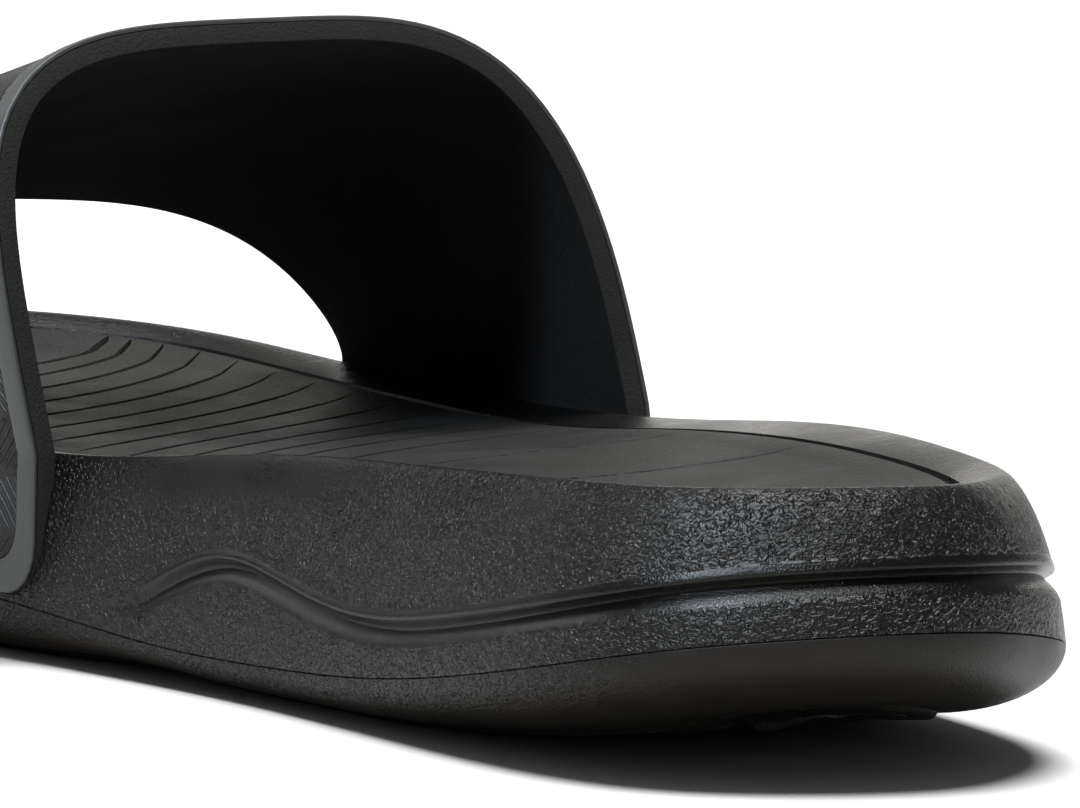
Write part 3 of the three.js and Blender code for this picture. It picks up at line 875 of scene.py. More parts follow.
def tower(
    name: str, spokes: int, levels: int, fill: str, extrude: Callable[..., set[str]]
) -> tuple[bpy.types.Object, Grid, Grid]:
    """Raises a circle level by level.

    Args:
        name: The new object's name.
        spokes: How many points the circle has.
        levels: How many levels there are, the circle's own with them.
        fill: Whether the circle is filled.
        extrude: The operator that raises it by one level.

    Returns:
        The object, and the level and the spoke of each of its vertices.
    """
    piece = primitive(name, bpy.ops.mesh.primitive_circle_add, vertices=spokes, radius=1, fill_type=fill)
    bpy.ops.object.mode_set(mode="EDIT")
    bpy.ops.mesh.select_all(action="SELECT")
    for _ in range(levels - 1):
        extrude(TRANSFORM_OT_translate={"value": (0, 0, 1)})
    bpy.ops.object.mode_set(mode="OBJECT")
    x, y, z = vertices_of(piece).T
    return piece, np.rint(z).astype(int), spoke_of(x, y, spokes)


def loft(name: str, rings: Grid, marks: dict[str, Grid] | None = None) -> bpy.types.Object:
    """Raises a tube from a circle, one extrusion for each ring, and moves each point to its place.

    Args:
        name: The new object's name.
        rings: Rings of points from below upwards; the first and the last are folded shut.
        marks: Values to keep for each point, by name.

    Returns:
        The closed piece.
    """
    levels, count = rings.shape[:2]
    piece, level, station = tower(name, count, levels, "NOTHING", bpy.ops.mesh.extrude_edges_move)
    place_vertices(piece, rings[level, station])
    for key, values in (marks or {}).items():
        mark(piece, key, values[level, station])
    seal(piece)
    return piece


def sheet(name: str, points: Grid, marks: dict[str, Grid] | None = None) -> bpy.types.Object:
    """Lays a grid over the given rows of points, keeping the grid's own map.

    Args:
        name: The new object's name.
        points: Rows of points.
        marks: Values to keep for each point, by name.

    Returns:
        The open piece.
    """
    rows, columns = points.shape[0] - 1, points.shape[1] - 1
    piece = primitive(
        name, bpy.ops.mesh.primitive_grid_add, x_subdivisions=rows, y_subdivisions=columns, size=1
    )
    raw = vertices_of(piece)
    row = np.rint((raw[:, 0] + 0.5) * rows).astype(int)
    column = np.rint((raw[:, 1] + 0.5) * columns).astype(int)
    place_vertices(piece, points[row, column])
    for key, values in (marks or {}).items():
        mark(piece, key, values[row, column])
    return piece


def hoop(name: str, sections: Grid) -> bpy.types.Object:
    """Runs a closed section round a closed path.

    Args:
        name: The new object's name.
        sections: For each point of the section, the loop that it follows.

    Returns:
        The closed piece.
    """
    minor, major = sections.shape[:2]
    wide, thin = 1.0, 0.25
    piece = primitive(
        name,
        bpy.ops.mesh.primitive_torus_add,
        major_segments=major,
        minor_segments=minor,
        major_radius=wide,
        minor_radius=thin,
    )
    x, y, z = vertices_of(piece).T
    section = spoke_of(np.hypot(x, y) - wide, z, minor)
    place_vertices(piece, sections[section, spoke_of(x, y, major)])
    seal(piece)
    return piece


def rod(name: str, loops: Grid) -> bpy.types.Object:
    """Builds a closed bar from the long lines along its corners.

    Args:
        name: The new object's name.
        loops: For each corner of the section, its points along the bar.

    Returns:
        The closed piece.
    """
    corners, levels = loops.shape[:2]
    piece, level, corner = tower(name, corners, levels, "NGON", bpy.ops.mesh.extrude_region_move)
    place_vertices(piece, loops[corner, level])
    seal(piece)
    return piece


class Graph:
    """Adds nodes to a tree and links them."""

    def __init__(self, tree: bpy.types.NodeTree) -> None:
        """Keeps the tree that the nodes go into."""
        self.tree = tree

    def add(
        self, kind: str, inputs: dict[str | int, object] | None = None, **settings: object
    ) -> bpy.types.Node:
        """Adds a node.

        Args:
            kind: The node's type.
            inputs: Sockets to link, or plain values to set, by the name or number of the input.
            **settings: The node's own settings.

        Returns:
            The node.
        """
        node = self.tree.nodes.new(kind)
        for name, value in settings.items():
            setattr(node, name, value)
        for key, value in (inputs or {}).items():
            if isinstance(value, bpy.types.NodeSocket):
                self.tree.links.new(value, node.inputs[key])
            else:
                node.inputs[key].default_value = value
        return node

    def group(self, tree: bpy.types.NodeTree, **inputs: object) -> bpy.types.Node:
        """Adds a shared node group, with its inputs by name."""
        return self.add("ShaderNodeGroup", inputs, node_tree=tree)

    def place(self) -> bpy.types.NodeSocket:
        """Returns the object's own coordinates."""
        return self.add("ShaderNodeTexCoord").outputs["Object"]

    def mask(self, name: str) -> bpy.types.NodeSocket:
        """Returns a value that the mesh keeps for each of its points."""
        return self.add("ShaderNodeAttribute", attribute_name=name).outputs["Fac"]

    def relink(self, value: bpy.types.NodeSocket, socket: bpy.types.NodeSocket) -> None:
        """Links a value to a socket, in place of what it had."""
        self.tree.links.new(value, socket)

    def maths(self, operation: str, first: object, second: object = 0.0) -> bpy.types.NodeSocket:
        """Adds a Math node and returns its output."""
        return self.add("ShaderNodeMath", {0: first, 1: second}, operation=operation).outputs[0]

    def remap(
        self, value: object, span: Sequence[float], result: Sequence[float] = (0, 1)
    ) -> bpy.types.NodeSocket:
        """Adds a smooth Map Range node and returns its output.

        Args:
            value: What it reads.
            span: The values where the step starts and ends.
            result: What it gives before and after the step.

        Returns:
            The output socket.
        """
        made = self.add(
            "ShaderNodeMapRange",
            {0: value, 1: span[0], 2: span[1], 3: result[0], 4: result[1]},
            interpolation_type="SMOOTHSTEP",
        )
        return made.outputs[0]

    def noise(
        self, vector: object, scale: object, detail: float, roughness: float = 0.5, twist: float = 0.0
    ) -> bpy.types.NodeSocket:
        """Adds a noise texture and returns its value.

        Args:
            vector: Where it is read.
            scale: How dense it is, in cells to the metre.
            detail: How many finer layers it has.
            roughness: How strong the finer layers are.
            twist: How far it is distorted.

        Returns:
            The output socket.
        """
        inputs = {"Vector": vector, "Scale": scale, "Detail": detail}
        inputs |= {"Roughness": roughness, "Distortion": twist}
        return self.add("ShaderNodeTexNoise", inputs).outputs[0]

    def mix(self, share: object, first: object, second: object) -> bpy.types.NodeSocket:
        """Mixes two colours and returns the result."""
        made = self.add("ShaderNodeMix", {0: share, 6: first, 7: second}, data_type="RGBA")
        return made.outputs[2]


GroupParts = tuple[bpy.types.NodeTree, Graph, dict[str, bpy.types.NodeSocket], bpy.types.Node]


class Effects:
    """The effects that more than one finish uses, each a node group that is built once."""

    ridge_span = (0.42, 0.6)
    patch_density = 0.31
    patch_span = (0.3, 0.62)
    patch_least = 0.45
    fine_density = 3.1
    fine_share = 0.16
    mean_height = 0.4
    grain_span = (0.3, 0.7)
    cloud_span = (0.32, 0.68)

    def __init__(self) -> None:
        """Builds the groups."""
        self.bark = self._bark()
        self.pebble = self._pebble()
        self.mottle = self._mottle()

    @staticmethod
    def _group(name: str, inputs: dict[str, float], outputs: Sequence[str]) -> GroupParts:
        """Starts a node group.

        Args:
            name: The group's name.
            inputs: Its number inputs and their usual values.
            outputs: Its number outputs.

        Returns:
            The group, its graph, its input sockets by name and its output node.
        """
        tree = bpy.data.node_groups.new(name, "ShaderNodeTree")
        for key, value in inputs.items():
            socket = tree.interface.new_socket(name=key, in_out="INPUT", socket_type="NodeSocketFloat")
            socket.default_value = value
        for key in outputs:
            tree.interface.new_socket(name=key, in_out="OUTPUT", socket_type="NodeSocketFloat")
        entry = tree.nodes.new("NodeGroupInput")
        result = tree.nodes.new("NodeGroupOutput")
        return tree, Graph(tree), {key: entry.outputs[key] for key in inputs}, result

    def _bark(self) -> bpy.types.NodeTree:
        """Builds the coarse moulded grain: winding ridges, longer along the wall than across it.

        Returns:
            The node group.
        """
        tree, graph, given, result = self._group(
            "moulded_bark", {"Density": 1300.0, "Flatten": 1.5, "Amount": 1.0}, ["Height"]
        )
        place = graph.place()
        split = graph.add("ShaderNodeSeparateXYZ", {0: place})
        tall = graph.maths("MULTIPLY", split.outputs[2], given["Flatten"])
        parts = {0: split.outputs[0], 1: split.outputs[1], 2: tall}
        flat = graph.add("ShaderNodeCombineXYZ", parts).outputs[0]
        winding = graph.noise(flat, given["Density"], 1.0, roughness=0.4, twist=0.6)
        wide = graph.maths("MULTIPLY", given["Density"], self.patch_density)
        patch = graph.remap(graph.noise(flat, wide, 2.0), self.patch_span, (self.patch_least, 1.0))
        close = graph.maths("MULTIPLY", given["Density"], self.fine_density)
        fine = graph.maths("MULTIPLY", graph.noise(place, close, 2.0), self.fine_share)
        ridge = graph.maths("MULTIPLY", graph.remap(winding, self.ridge_span), patch)
        level = graph.maths("SUBTRACT", graph.maths("ADD", ridge, fine), self.mean_height)
        graph.relink(graph.maths("MULTIPLY", level, given["Amount"]), result.inputs["Height"])
        return tree

    def _pebble(self) -> bpy.types.NodeTree:
        """Builds a fine even grain.

        Returns:
            The node group.
        """
        tree, graph, given, result = self._group(
            "fine_pebble", {"Density": 2600.0, "Amount": 1.0}, ["Height"]
        )
        noise = graph.noise(graph.place(), given["Density"], 2.0, roughness=0.55, twist=0.3)
        grain = graph.remap(noise, self.grain_span)
        graph.relink(graph.maths("MULTIPLY", grain, given["Amount"]), result.inputs["Height"])
        return tree

    def _mottle(self) -> bpy.types.NodeTree:
        """Builds soft uneven patches, as handling and dust leave them.

        Returns:
            The node group.
        """
        tree, graph, given, result = self._group("soft_mottle", {"Density": 60.0}, ["Share"])
        noise = graph.noise(graph.place(), given["Density"], 4.0, roughness=0.6)
        graph.relink(graph.remap(noise, self.cloud_span), result.inputs["Share"])
        return tree


Colour = tuple[float, float, float]


@dataclass(frozen=True)
class Finish:
    """A finish: two colours that it varies between, how rough it is and what its surface does."""

    name: str
    dark: Colour
    light: Colour
    roughness: tuple[float, float]
    mottle: float = 60.0
    specular: float = 0.5

    def start(self, effects: Effects) -> tuple[bpy.types.Material, Graph, bpy.types.Node]:
        """Makes the material with its colour and roughness.

        Args:
            effects: The shared node groups.

        Returns:
            The material, its graph and its shader.
        """
        material = bpy.data.materials.new(self.name)
        material.use_nodes = True
        graph = Graph(material.node_tree)
        shader = material.node_tree.nodes["Principled BSDF"]
        share = graph.group(effects.mottle, Density=self.mottle).outputs["Share"]
        graph.relink(graph.mix(share, (*self.dark, 1), (*self.light, 1)), shader.inputs["Base Color"])
        graph.relink(graph.remap(share, (0, 1), self.roughness), shader.inputs["Roughness"])
        shader.inputs["Specular IOR Level"].default_value = self.specular
        return material, graph, shader

    @staticmethod
    def bump(graph: Graph, shader: bpy.types.Node, height: bpy.types.NodeSocket, depth: float) -> None:
        """Raises the surface by a height that varies over it, up to a depth in metres."""
        node = graph.add("ShaderNodeBump", {"Height": height, "Distance": depth})
        graph.relink(node.outputs[0], shader.inputs["Normal"])


@dataclass(frozen=True)
class BarkFinish(Finish):
    """Moulded foam or rubber with the coarse grain, where the mesh's own mask asks for it."""

    density: float = 1300.0
    flatten: float = 1.5
    depth: float = 0.42 * MM
    fine_density: float = 4200.0
    fine_share: float = 0.08
    polish: float = 0.1
    mask: str = "grain"
    polish_mask: str = "polish"

    def build(self, effects: Effects) -> bpy.types.Material:
        """Builds the material.

        Args:
            effects: The shared node groups.

        Returns:
            The material.
        """
        material, graph, shader = self.start(effects)
        rough = shader.inputs["Roughness"].links[0].from_socket
        bare = graph.maths("MULTIPLY", graph.mask(self.polish_mask), self.polish)
        graph.relink(graph.maths("SUBTRACT", rough, bare), shader.inputs["Roughness"])
        amount = graph.mask(self.mask)
        bark = graph.group(effects.bark, Density=self.density, Flatten=self.flatten, Amount=amount)
        pebble = graph.group(effects.pebble, Density=self.fine_density, Amount=self.fine_share)
        height = graph.maths("ADD", bark.outputs["Height"], pebble.outputs["Height"])
        self.bump(graph, shader, height, self.depth)
        return material


@dataclass(frozen=True)
class PebbleFinish(Finish):
    """A surface with a fine even grain all over."""

    density: float = 2600.0
    depth: float = 0.08 * MM

    def build(self, effects: Effects) -> bpy.types.Material:
        """Builds the material.

        Args:
            effects: The shared node groups.

        Returns:
            The material.
        """
        material, graph, shader = self.start(effects)
        pebble = graph.group(effects.pebble, Density=self.density)
        self.bump(graph, shader, pebble.outputs["Height"], self.depth)
        return material


@dataclass(frozen=True)
class LiningFinish(PebbleFinish):
    """A dull cloth lining, with the paler foam showing where the strap is cut."""

    cut_colour: Colour = (0.02, 0.021, 0.017)
    mask: str = "cut"
    fray: float = 0.3
    fray_density: float = 2400.0
    fray_span: tuple[float, float] = (0.5, 0.68)

    def build(self, effects: Effects) -> bpy.types.Material:
        """Builds the material.

        Args:
            effects: The shared node groups.

        Returns:
            The material.
        """
        material = super().build(effects)
        graph = Graph(material.node_tree)
        colour = material.node_tree.nodes["Principled BSDF"].inputs["Base Color"]
        fray = graph.group(effects.pebble, Density=self.fray_density, Amount=self.fray)
        cut = graph.maths("SUBTRACT", graph.mask(self.mask), fray.outputs["Height"])
        edge = graph.remap(cut, self.fray_span)
        graph.relink(graph.mix(edge, colour.links[0].from_socket, (*self.cut_colour, 1)), colour)
        return material


@dataclass(frozen=True)
class RibFinish(Finish):
    """An embossed skin: short diagonal ribs that change their direction from band to band."""

    band: float = 7.0 * MM
    pitch: float = 1.7 * MM
    depth: float = 0.3 * MM
    grain_density: float = 3600.0
    grain_share: float = 0.2
    rib_span: tuple[float, float] = (0.12, 0.36)
    edge_span: tuple[float, float] = (0.03, 0.12)

    def build(self, effects: Effects) -> bpy.types.Material:
        """Builds the material.

        Args:
            effects: The shared node groups.

        Returns:
            The material.
        """
        material, graph, shader = self.start(effects)
        place = graph.add("ShaderNodeUVMap").outputs[0]
        split = graph.add("ShaderNodeSeparateXYZ", {0: place})
        bands = graph.maths("DIVIDE", split.outputs[0], self.band)
        zigzag = graph.maths("PINGPONG", bands, 1.0)
        slant = graph.maths("MULTIPLY", zigzag, self.band)
        phase = graph.maths("DIVIDE", graph.maths("ADD", split.outputs[1], slant), self.pitch)
        rib = graph.remap(graph.maths("PINGPONG", phase, 0.5), self.rib_span)
        edge = graph.remap(graph.maths("PINGPONG", bands, 0.5), self.edge_span)
        pebble = graph.group(effects.pebble, Density=self.grain_density, Amount=self.grain_share)
        height = graph.maths("ADD", graph.maths("MULTIPLY", rib, edge), pebble.outputs["Height"])
        self.bump(graph, shader, height, self.depth)
        return material


OUTSOLE_RUBBER = BarkFinish(
    "outsole_rubber", (0.009, 0.008, 0.006), (0.013, 0.011, 0.009), (0.36, 0.44), specular=0.2
)
MIDSOLE_FOAM = BarkFinish(
    "midsole_foam", (0.0055, 0.0055, 0.0055), (0.009, 0.009, 0.0075), (0.27, 0.35), specular=0.24
)
FOOTBED_FOAM = PebbleFinish(
    "footbed_foam",
    (0.012, 0.012, 0.011),
    (0.02, 0.019, 0.016),
    (0.5, 0.6),
    specular=0.25,
    density=1900.0,
    depth=0.14 * MM,
)
STRAP_FOAM = LiningFinish(
    "strap_foam", (0.002, 0.002, 0.0025), (0.004, 0.004, 0.0045), (0.85, 0.95), specular=0.2
)
FRAME_SKIN = PebbleFinish(
    "frame_skin", (0.05, 0.054, 0.055), (0.062, 0.066, 0.066), (0.45, 0.52), depth=0.02 * MM
)
PANEL_SKIN = RibFinish(
    "panel_skin", (0.006, 0.006, 0.007), (0.011, 0.011, 0.012), (0.4, 0.5), specular=0.25
)


@dataclass
class Outsole:
    """The moulded underside, from the tread up to the seam."""

    sole: SoleForm
    tread_room: float = 9 * MM
    pad_step: float = 0.8 * MM
    pad_round: float = 0.35 * MM
    pad_foot: float = 0.3
    pad_lean: tuple[float, float] = (0.5, 0.9)
    pad_rings: int = 5
    groove_width: float = 2.6 * MM
    groove_depth: float = 1.6 * MM
    groove_pitch: float = 10.5 * MM
    wave_height: float = 3 * MM
    grooves_from: float = 0.07
    grooves_clear: float = 0.1
    grooves_to: float = 0.93
    groove_reach: float = 0.72
    groove_floor: float = 0.7
    half_waves: int = 6
    wave_steps: int = 16
    grain_height: tuple[float, float] = (0.35, 0.75)
    grain_along: tuple[float, float] = (0.02, 0.14)
    turn_steps: int = 16
    fold_shares: tuple[float, ...] = (0.2, 0.4, 0.6, 0.8, 0.94, 1.0)
    cut_overrun: float = 3 * MM

    def _rings(self, at: Stations) -> Grid:
        """Stacks the rings from the middle of the tread outwards and up to the seam.

        Args:
            at: The stations round the outline.

        Returns:
            The rings, first one innermost.
        """
        sole = self.sole
        tread = sole.insets["tread"](at.along)
        low = sole.tread_height(at.along, sole.edge_arch_share)
        seam = sole.heights["seam"](at.along)
        inner = sole.ring(at, tread + self.tread_room, sole.tread_height(at.along, 1.0))
        rings = sole.fold(inner, self.fold_shares)[::-1]
        for ring in rings:
            ring[:, 2] = sole.tread_height(sole.along_at(ring[:, 1] - sole.shift[1]), 1.0)
        rings.append(inner)
        lean, climb = self.pad_lean
        rings.append(sole.ring(at, tread + self.pad_step + self.pad_round, low))
        rings.append(sole.ring(at, tread + self.pad_step, low + self.pad_round * self.pad_foot))
        rings.append(sole.ring(at, tread + self.pad_step * lean, low + self.pad_step * climb))
        rings.append(sole.ring(at, tread, low + self.pad_step))
        for angle in np.linspace(np.pi / 2, 0, self.turn_steps + 1)[1:]:
            z = lerp(seam - sole.seam_bevel, low + self.pad_step, np.sin(angle))
            rings.append(sole.ring(at, tread * (1 - np.cos(angle)), z))
        lip_in, lip_down = sole.seam_lip
        rings.append(sole.ring(at, sole.seam_bevel * lip_in, seam - sole.seam_gap * lip_down))
        top = sole.ring(at, sole.seam_bevel, seam - sole.seam_gap / 2)
        rings.append(top)
        rings += sole.fold(top, self.fold_shares)
        return np.array(rings)

    def _cutter(self) -> bpy.types.Object:
        """Makes the wavy cutters of the tread's grooves, all in one object.

        Returns:
            The cutter.
        """
        sole = self.sole
        pitches = np.arange(0, (self.grooves_to - self.grooves_from) * sole.length, self.groove_pitch)
        cutters = []
        for travelled in pitches:
            along = self.grooves_from + travelled / sole.length
            if along < self.grooves_clear or sole.heel_flat[1] < along < sole.fore_flat[0]:
                continue
            y = sole.y_at(along)
            inset = sole.insets["tread"](along)
            medial = (sole.side_at(y, Side.MEDIAL) + inset) * self.groove_reach
            lateral = (sole.side_at(y, Side.LATERAL) - inset) * self.groove_reach
            share = np.linspace(0, 1, self.half_waves * self.wave_steps + 1)
            x = lerp(medial, lateral, share)
            middle = y + self.wave_height / 2 * np.sin(share * np.pi * self.half_waves)
            floor = sole.tread_height(sole.along_at(middle), sole.edge_arch_share)
            half = self.groove_width / 2
            narrow = half * self.groove_floor
            mouth = ((-half, -self.cut_overrun), (half, -self.cut_overrun))
            deep = ((narrow, self.groove_depth), (-narrow, self.groove_depth))
            line = np.column_stack([x, middle, floor])
            cutters.append(rod(f"tread_cutter_{len(cutters)}", sole.bar(line, (*mouth, *deep))))
        return join(cutters)

    def build(self, at: Stations) -> bpy.types.Object:
        """Builds the piece.

        Args:
            at: The stations round the outline.

        Returns:
            The finished piece.
        """
        rings = self._rings(at)
        grain = np.zeros(rings.shape[:2])
        wall = slice(len(self.fold_shares) + self.pad_rings, -len(self.fold_shares))
        share = np.linspace(0, 1, grain[wall].shape[0])[:, None]
        grain[wall] = ease(share, *self.grain_height) * ease(at.along, *self.grain_along)[None, :]
        piece = loft("outsole_shell", rings, {"grain": grain})
        carve(piece, self._cutter())
        smooth(piece)
        return piece


@dataclass
class Midsole:
    """The thick foam side wall, its rim, the channel round the heel and the recess for the foot."""

    sole: SoleForm
    strap: StrapForm
    pocket_gap: float = 0.1 * MM
    pocket_overrun: float = 3 * MM
    pocket_columns: int = 24
    wall_power: float = 1.7
    wall_top: float = 0.999
    crest_start: float = 1.02
    crest_power: float = 1.5
    crest_fall: float = 0.1
    crest_grain: float = 0.25
    polish_rate: float = 2.0
    polish_above: tuple[float, float] = (-0.01, 0.03)
    polish_below: tuple[float, float] = (0.8, 1.0)
    calm_height: tuple[float, float] = (0.62, 0.85)
    calm_from: tuple[float, float] = (0.2, 0.32)
    calm_to: tuple[float, float] = (0.42, 0.52)
    top_height: tuple[float, float] = (0.93, 1.0)
    top_calm: float = 0.75
    bed_seat: tuple[float, float] = (0.02 * MM, 0.05 * MM)
    lower_steps: int = 8
    channel_steps: int = 22
    upper_steps: int = 26
    crest_steps: int = 12
    fold_shares: tuple[float, ...] = (0.3, 0.6, 0.9, 1.0)
    sharp_degrees: float = 34.0

    def _wall(self, at: Stations, z: Grid, carved: bool) -> tuple[Grid, Grid]:
        """Returns a ring of the wall at some heights, and how smooth it is where the channel runs.

        Args:
            at: The stations round the outline.
            z: The ring's heights.
            carved: Whether the channel is cut into this ring.

        Returns:
            The ring and its smoothness.
        """
        sole = self.sole
        seam, wall, top, width = sole.channel(at)
        fall = (top - z) / width
        inset = sole.wall_inset(at, (z - seam) / wall)
        polish = np.zeros_like(at.along)
        if carved:
            inset = inset + sole.channel_cut(at, fall)
            depth = np.clip(sole.wave["depth"](at.along) * self.polish_rate, 0, 1)
            polish = depth * (1 - ease(fall, *self.polish_below)) * ease(fall, *self.polish_above)
        return sole.ring(at, inset, z), polish

    def _rings(self, at: Stations) -> tuple[Grid, Grid, Grid]:
        """Stacks the rings from the seam over the crest and into the recess.

        Args:
            at: The stations round the outline.

        Returns:
            The rings, their share of the grain and how smooth the channel makes them.
        """
        sole = self.sole
        seam, wall, top, width = sole.channel(at)
        bare, full = np.zeros_like(at.along), np.ones_like(at.along)
        lip_in, lip_up = sole.seam_lip
        bottom = sole.ring(at, sole.seam_bevel, seam + sole.seam_gap / 2)
        rings = sole.fold(bottom, self.fold_shares)[::-1] + [bottom]
        rings.append(sole.ring(at, sole.seam_bevel * lip_in, seam + sole.seam_gap * lip_up))
        grains = [full] * len(rings)
        polishes = [bare] * len(rings)
        low = seam + sole.seam_bevel
        heights = [(lerp(low, top - width, s), False) for s in np.linspace(0, 1, self.lower_steps)[:-1]]
        falls = np.linspace(1, 0, self.channel_steps)
        heights += [(top - width * fall, True) for fall in falls]
        rises = 1 - (1 - np.linspace(0, 1, self.upper_steps)[1:]) ** self.wall_power
        heights += [(lerp(top, seam + wall * self.wall_top, rise), False) for rise in rises]
        for z, carved in heights:
            ring, polish = self._wall(at, z, carved)
            share = (z - seam) / wall
            waist = ease(at.along, *self.calm_from) * (1 - ease(at.along, *self.calm_to))
            fade = 1 - ease(share, *self.calm_height) * waist
            rings.append(ring)
            polishes.append(polish)
            grains.append((1 - polish) * fade * (1 - self.top_calm * ease(share, *self.top_height)))
        crest = sole.inset("crest", at)
        bed = sole.height("bed", at)
        rim = sole.height("rim", at)
        half = sole.rim_groove_width / 2
        edge = sole.inset("bed", at) - half
        lip = lerp(bed, rim, self.crest_fall)
        for share in np.linspace(0, 1, self.crest_steps):
            inset = lerp(crest * self.crest_start, edge, share)
            rings.append(sole.ring(at, inset, lerp(rim, lip, share**self.crest_power)))
            grains.append(np.full_like(at.along, self.crest_grain * (1 - share)))
        for share in np.linspace(1, 0, sole.rim_groove_steps + 1)[1:]:
            inset = sole.inset("bed", at) - half * share
            z = lerp(bed - sole.rim_groove_depth, lip, share**sole.rim_groove_power)
            rings.append(sole.ring(at, inset, z))
        out, down = self.bed_seat
        floor = sole.ring(at, sole.inset("bed", at) + out, bed - sole.bed_thickness - down)
        rings.append(floor)
        rings += sole.fold(floor, self.fold_shares)
        grains += [bare] * (len(rings) - len(grains))
        polishes += [bare] * (len(rings) - len(polishes))
        return np.array(rings), np.array(grains), np.array(polishes)

    def _pocket(self) -> bpy.types.Object:
        """Makes the room that the strap takes in the wall.

        Returns:
            The cutter.
        """
        gap, out = self.pocket_gap, self.pocket_overrun
        u, v = self.strap.plate(-gap, self.strap.corner_radius + gap, self.pocket_columns)
        cutter = sheet("pocket_cutter", self.strap.offset(u, v, out))
        depth = self.strap.wall + gap + out
        modify(cutter, "SOLIDIFY", thickness=depth, offset=-1.0)
        seal(cutter)
        return cutter

    def build(self, at: Stations) -> bpy.types.Object:
        """Builds the piece.

        Args:
            at: The stations round the outline.

        Returns:
            The finished piece.
        """
        rings, grains, polishes = self._rings(at)
        piece = loft("midsole_shell", rings, {"grain": grains, "polish": polishes})
        carve(piece, self._pocket())
        smooth(piece, self.sharp_degrees)
        return piece


@dataclass
class Footbed:
    """The foot pad in the recess, with its engraved grooves."""

    sole: SoleForm
    side_gap: float = 0.03 * MM
    settle_rate: float = 5.0
    groove_width: float = 1.25 * MM
    groove_depth: float = 0.6 * MM
    groove_floor: float = 0.3
    groove_tip: float = 0.25
    taper_span: tuple[float, float] = (0.55, 1.0)
    sink_span: tuple[float, float] = (0.86, 1.0)
    cut_lift: float = 1 * MM
    groove_reach: float = 0.93
    groove_steps: int = 60
    top_steps: int = 26
    fold_shares: tuple[float, ...] = (0.5, 1.0)
    sharp_degrees: float = 30.0

    def _rings(self, at: Stations) -> Grid:
        """Stacks the rings from the underside over the edge and across the top.

        Args:
            at: The stations round the outline.

        Returns:
            The rings, first one innermost.
        """
        sole = self.sole
        bed = sole.height("bed", at)
        edge = sole.inset("bed", at) + self.side_gap
        base = sole.ring(at, edge, bed - sole.bed_thickness)
        rings = sole.fold(base, self.fold_shares)[::-1] + [base]
        for share in np.linspace(0, 1, sole.rim_groove_steps + 1):
            z = lerp(bed - sole.rim_groove_depth, bed, share**sole.rim_groove_power)
            rings.append(sole.ring(at, edge + sole.rim_groove_width / 2 * share, z))
        start = len(rings)
        shares = np.linspace(0, 1, self.top_steps + 1)[1:]
        rings += sole.fold(rings[-1], shares)
        made = np.array(rings)
        top = made[start:]
        settled = sole.bed_height(top[..., 0] - sole.shift[0], top[..., 1] - sole.shift[1])
        made[start:, :, 2] = lerp(top[..., 2], settled, np.minimum(shares * self.settle_rate, 1)[:, None])
        return made

    def _cutter(self) -> bpy.types.Object:
        """Makes the cutters of the curved grooves, all in one object.

        Returns:
            The cutter.
        """
        sole = self.sole
        cutters = []
        for row in bed_grooves():
            t = np.linspace(-1, 1, self.groove_steps + 1)
            bend = (row.medial + row.lateral) / 2 - row.middle
            along = row.middle + (row.lateral - row.medial) / 2 * t + bend * t * t
            y = sole.y_at(along)
            medial, lateral = sole.bed_span(y)
            x = lerp(medial, lateral, 0.5 + t * self.groove_reach / 2)
            z = sole.bed_height(x, y)
            sink = self.groove_depth * (1 - ease(np.abs(t), *self.sink_span))
            taper = lerp(1.0, self.groove_tip, ease(np.abs(t), *self.taper_span))
            mouth = self.groove_width / 2 * taper
            floor = mouth * self.groove_floor
            lift = self.cut_lift
            lid = mouth + (mouth - floor) * lift / self.groove_depth
            corners = ((-floor, -sink), (floor, -sink), (lid, lift), (-lid, lift))
            line = np.column_stack([x, y, z])
            cutters.append(rod(f"bed_cutter_{len(cutters)}", sole.bar(line, corners)))
        return join(cutters)

    def build(self, at: Stations) -> bpy.types.Object:
        """Builds the piece.

        Args:
            at: The stations round the outline.

        Returns:
            The finished piece.
        """
        piece = loft("footbed_pad", self._rings(at))
        carve(piece, self._cutter())
        smooth(piece, self.sharp_degrees)
        return piece


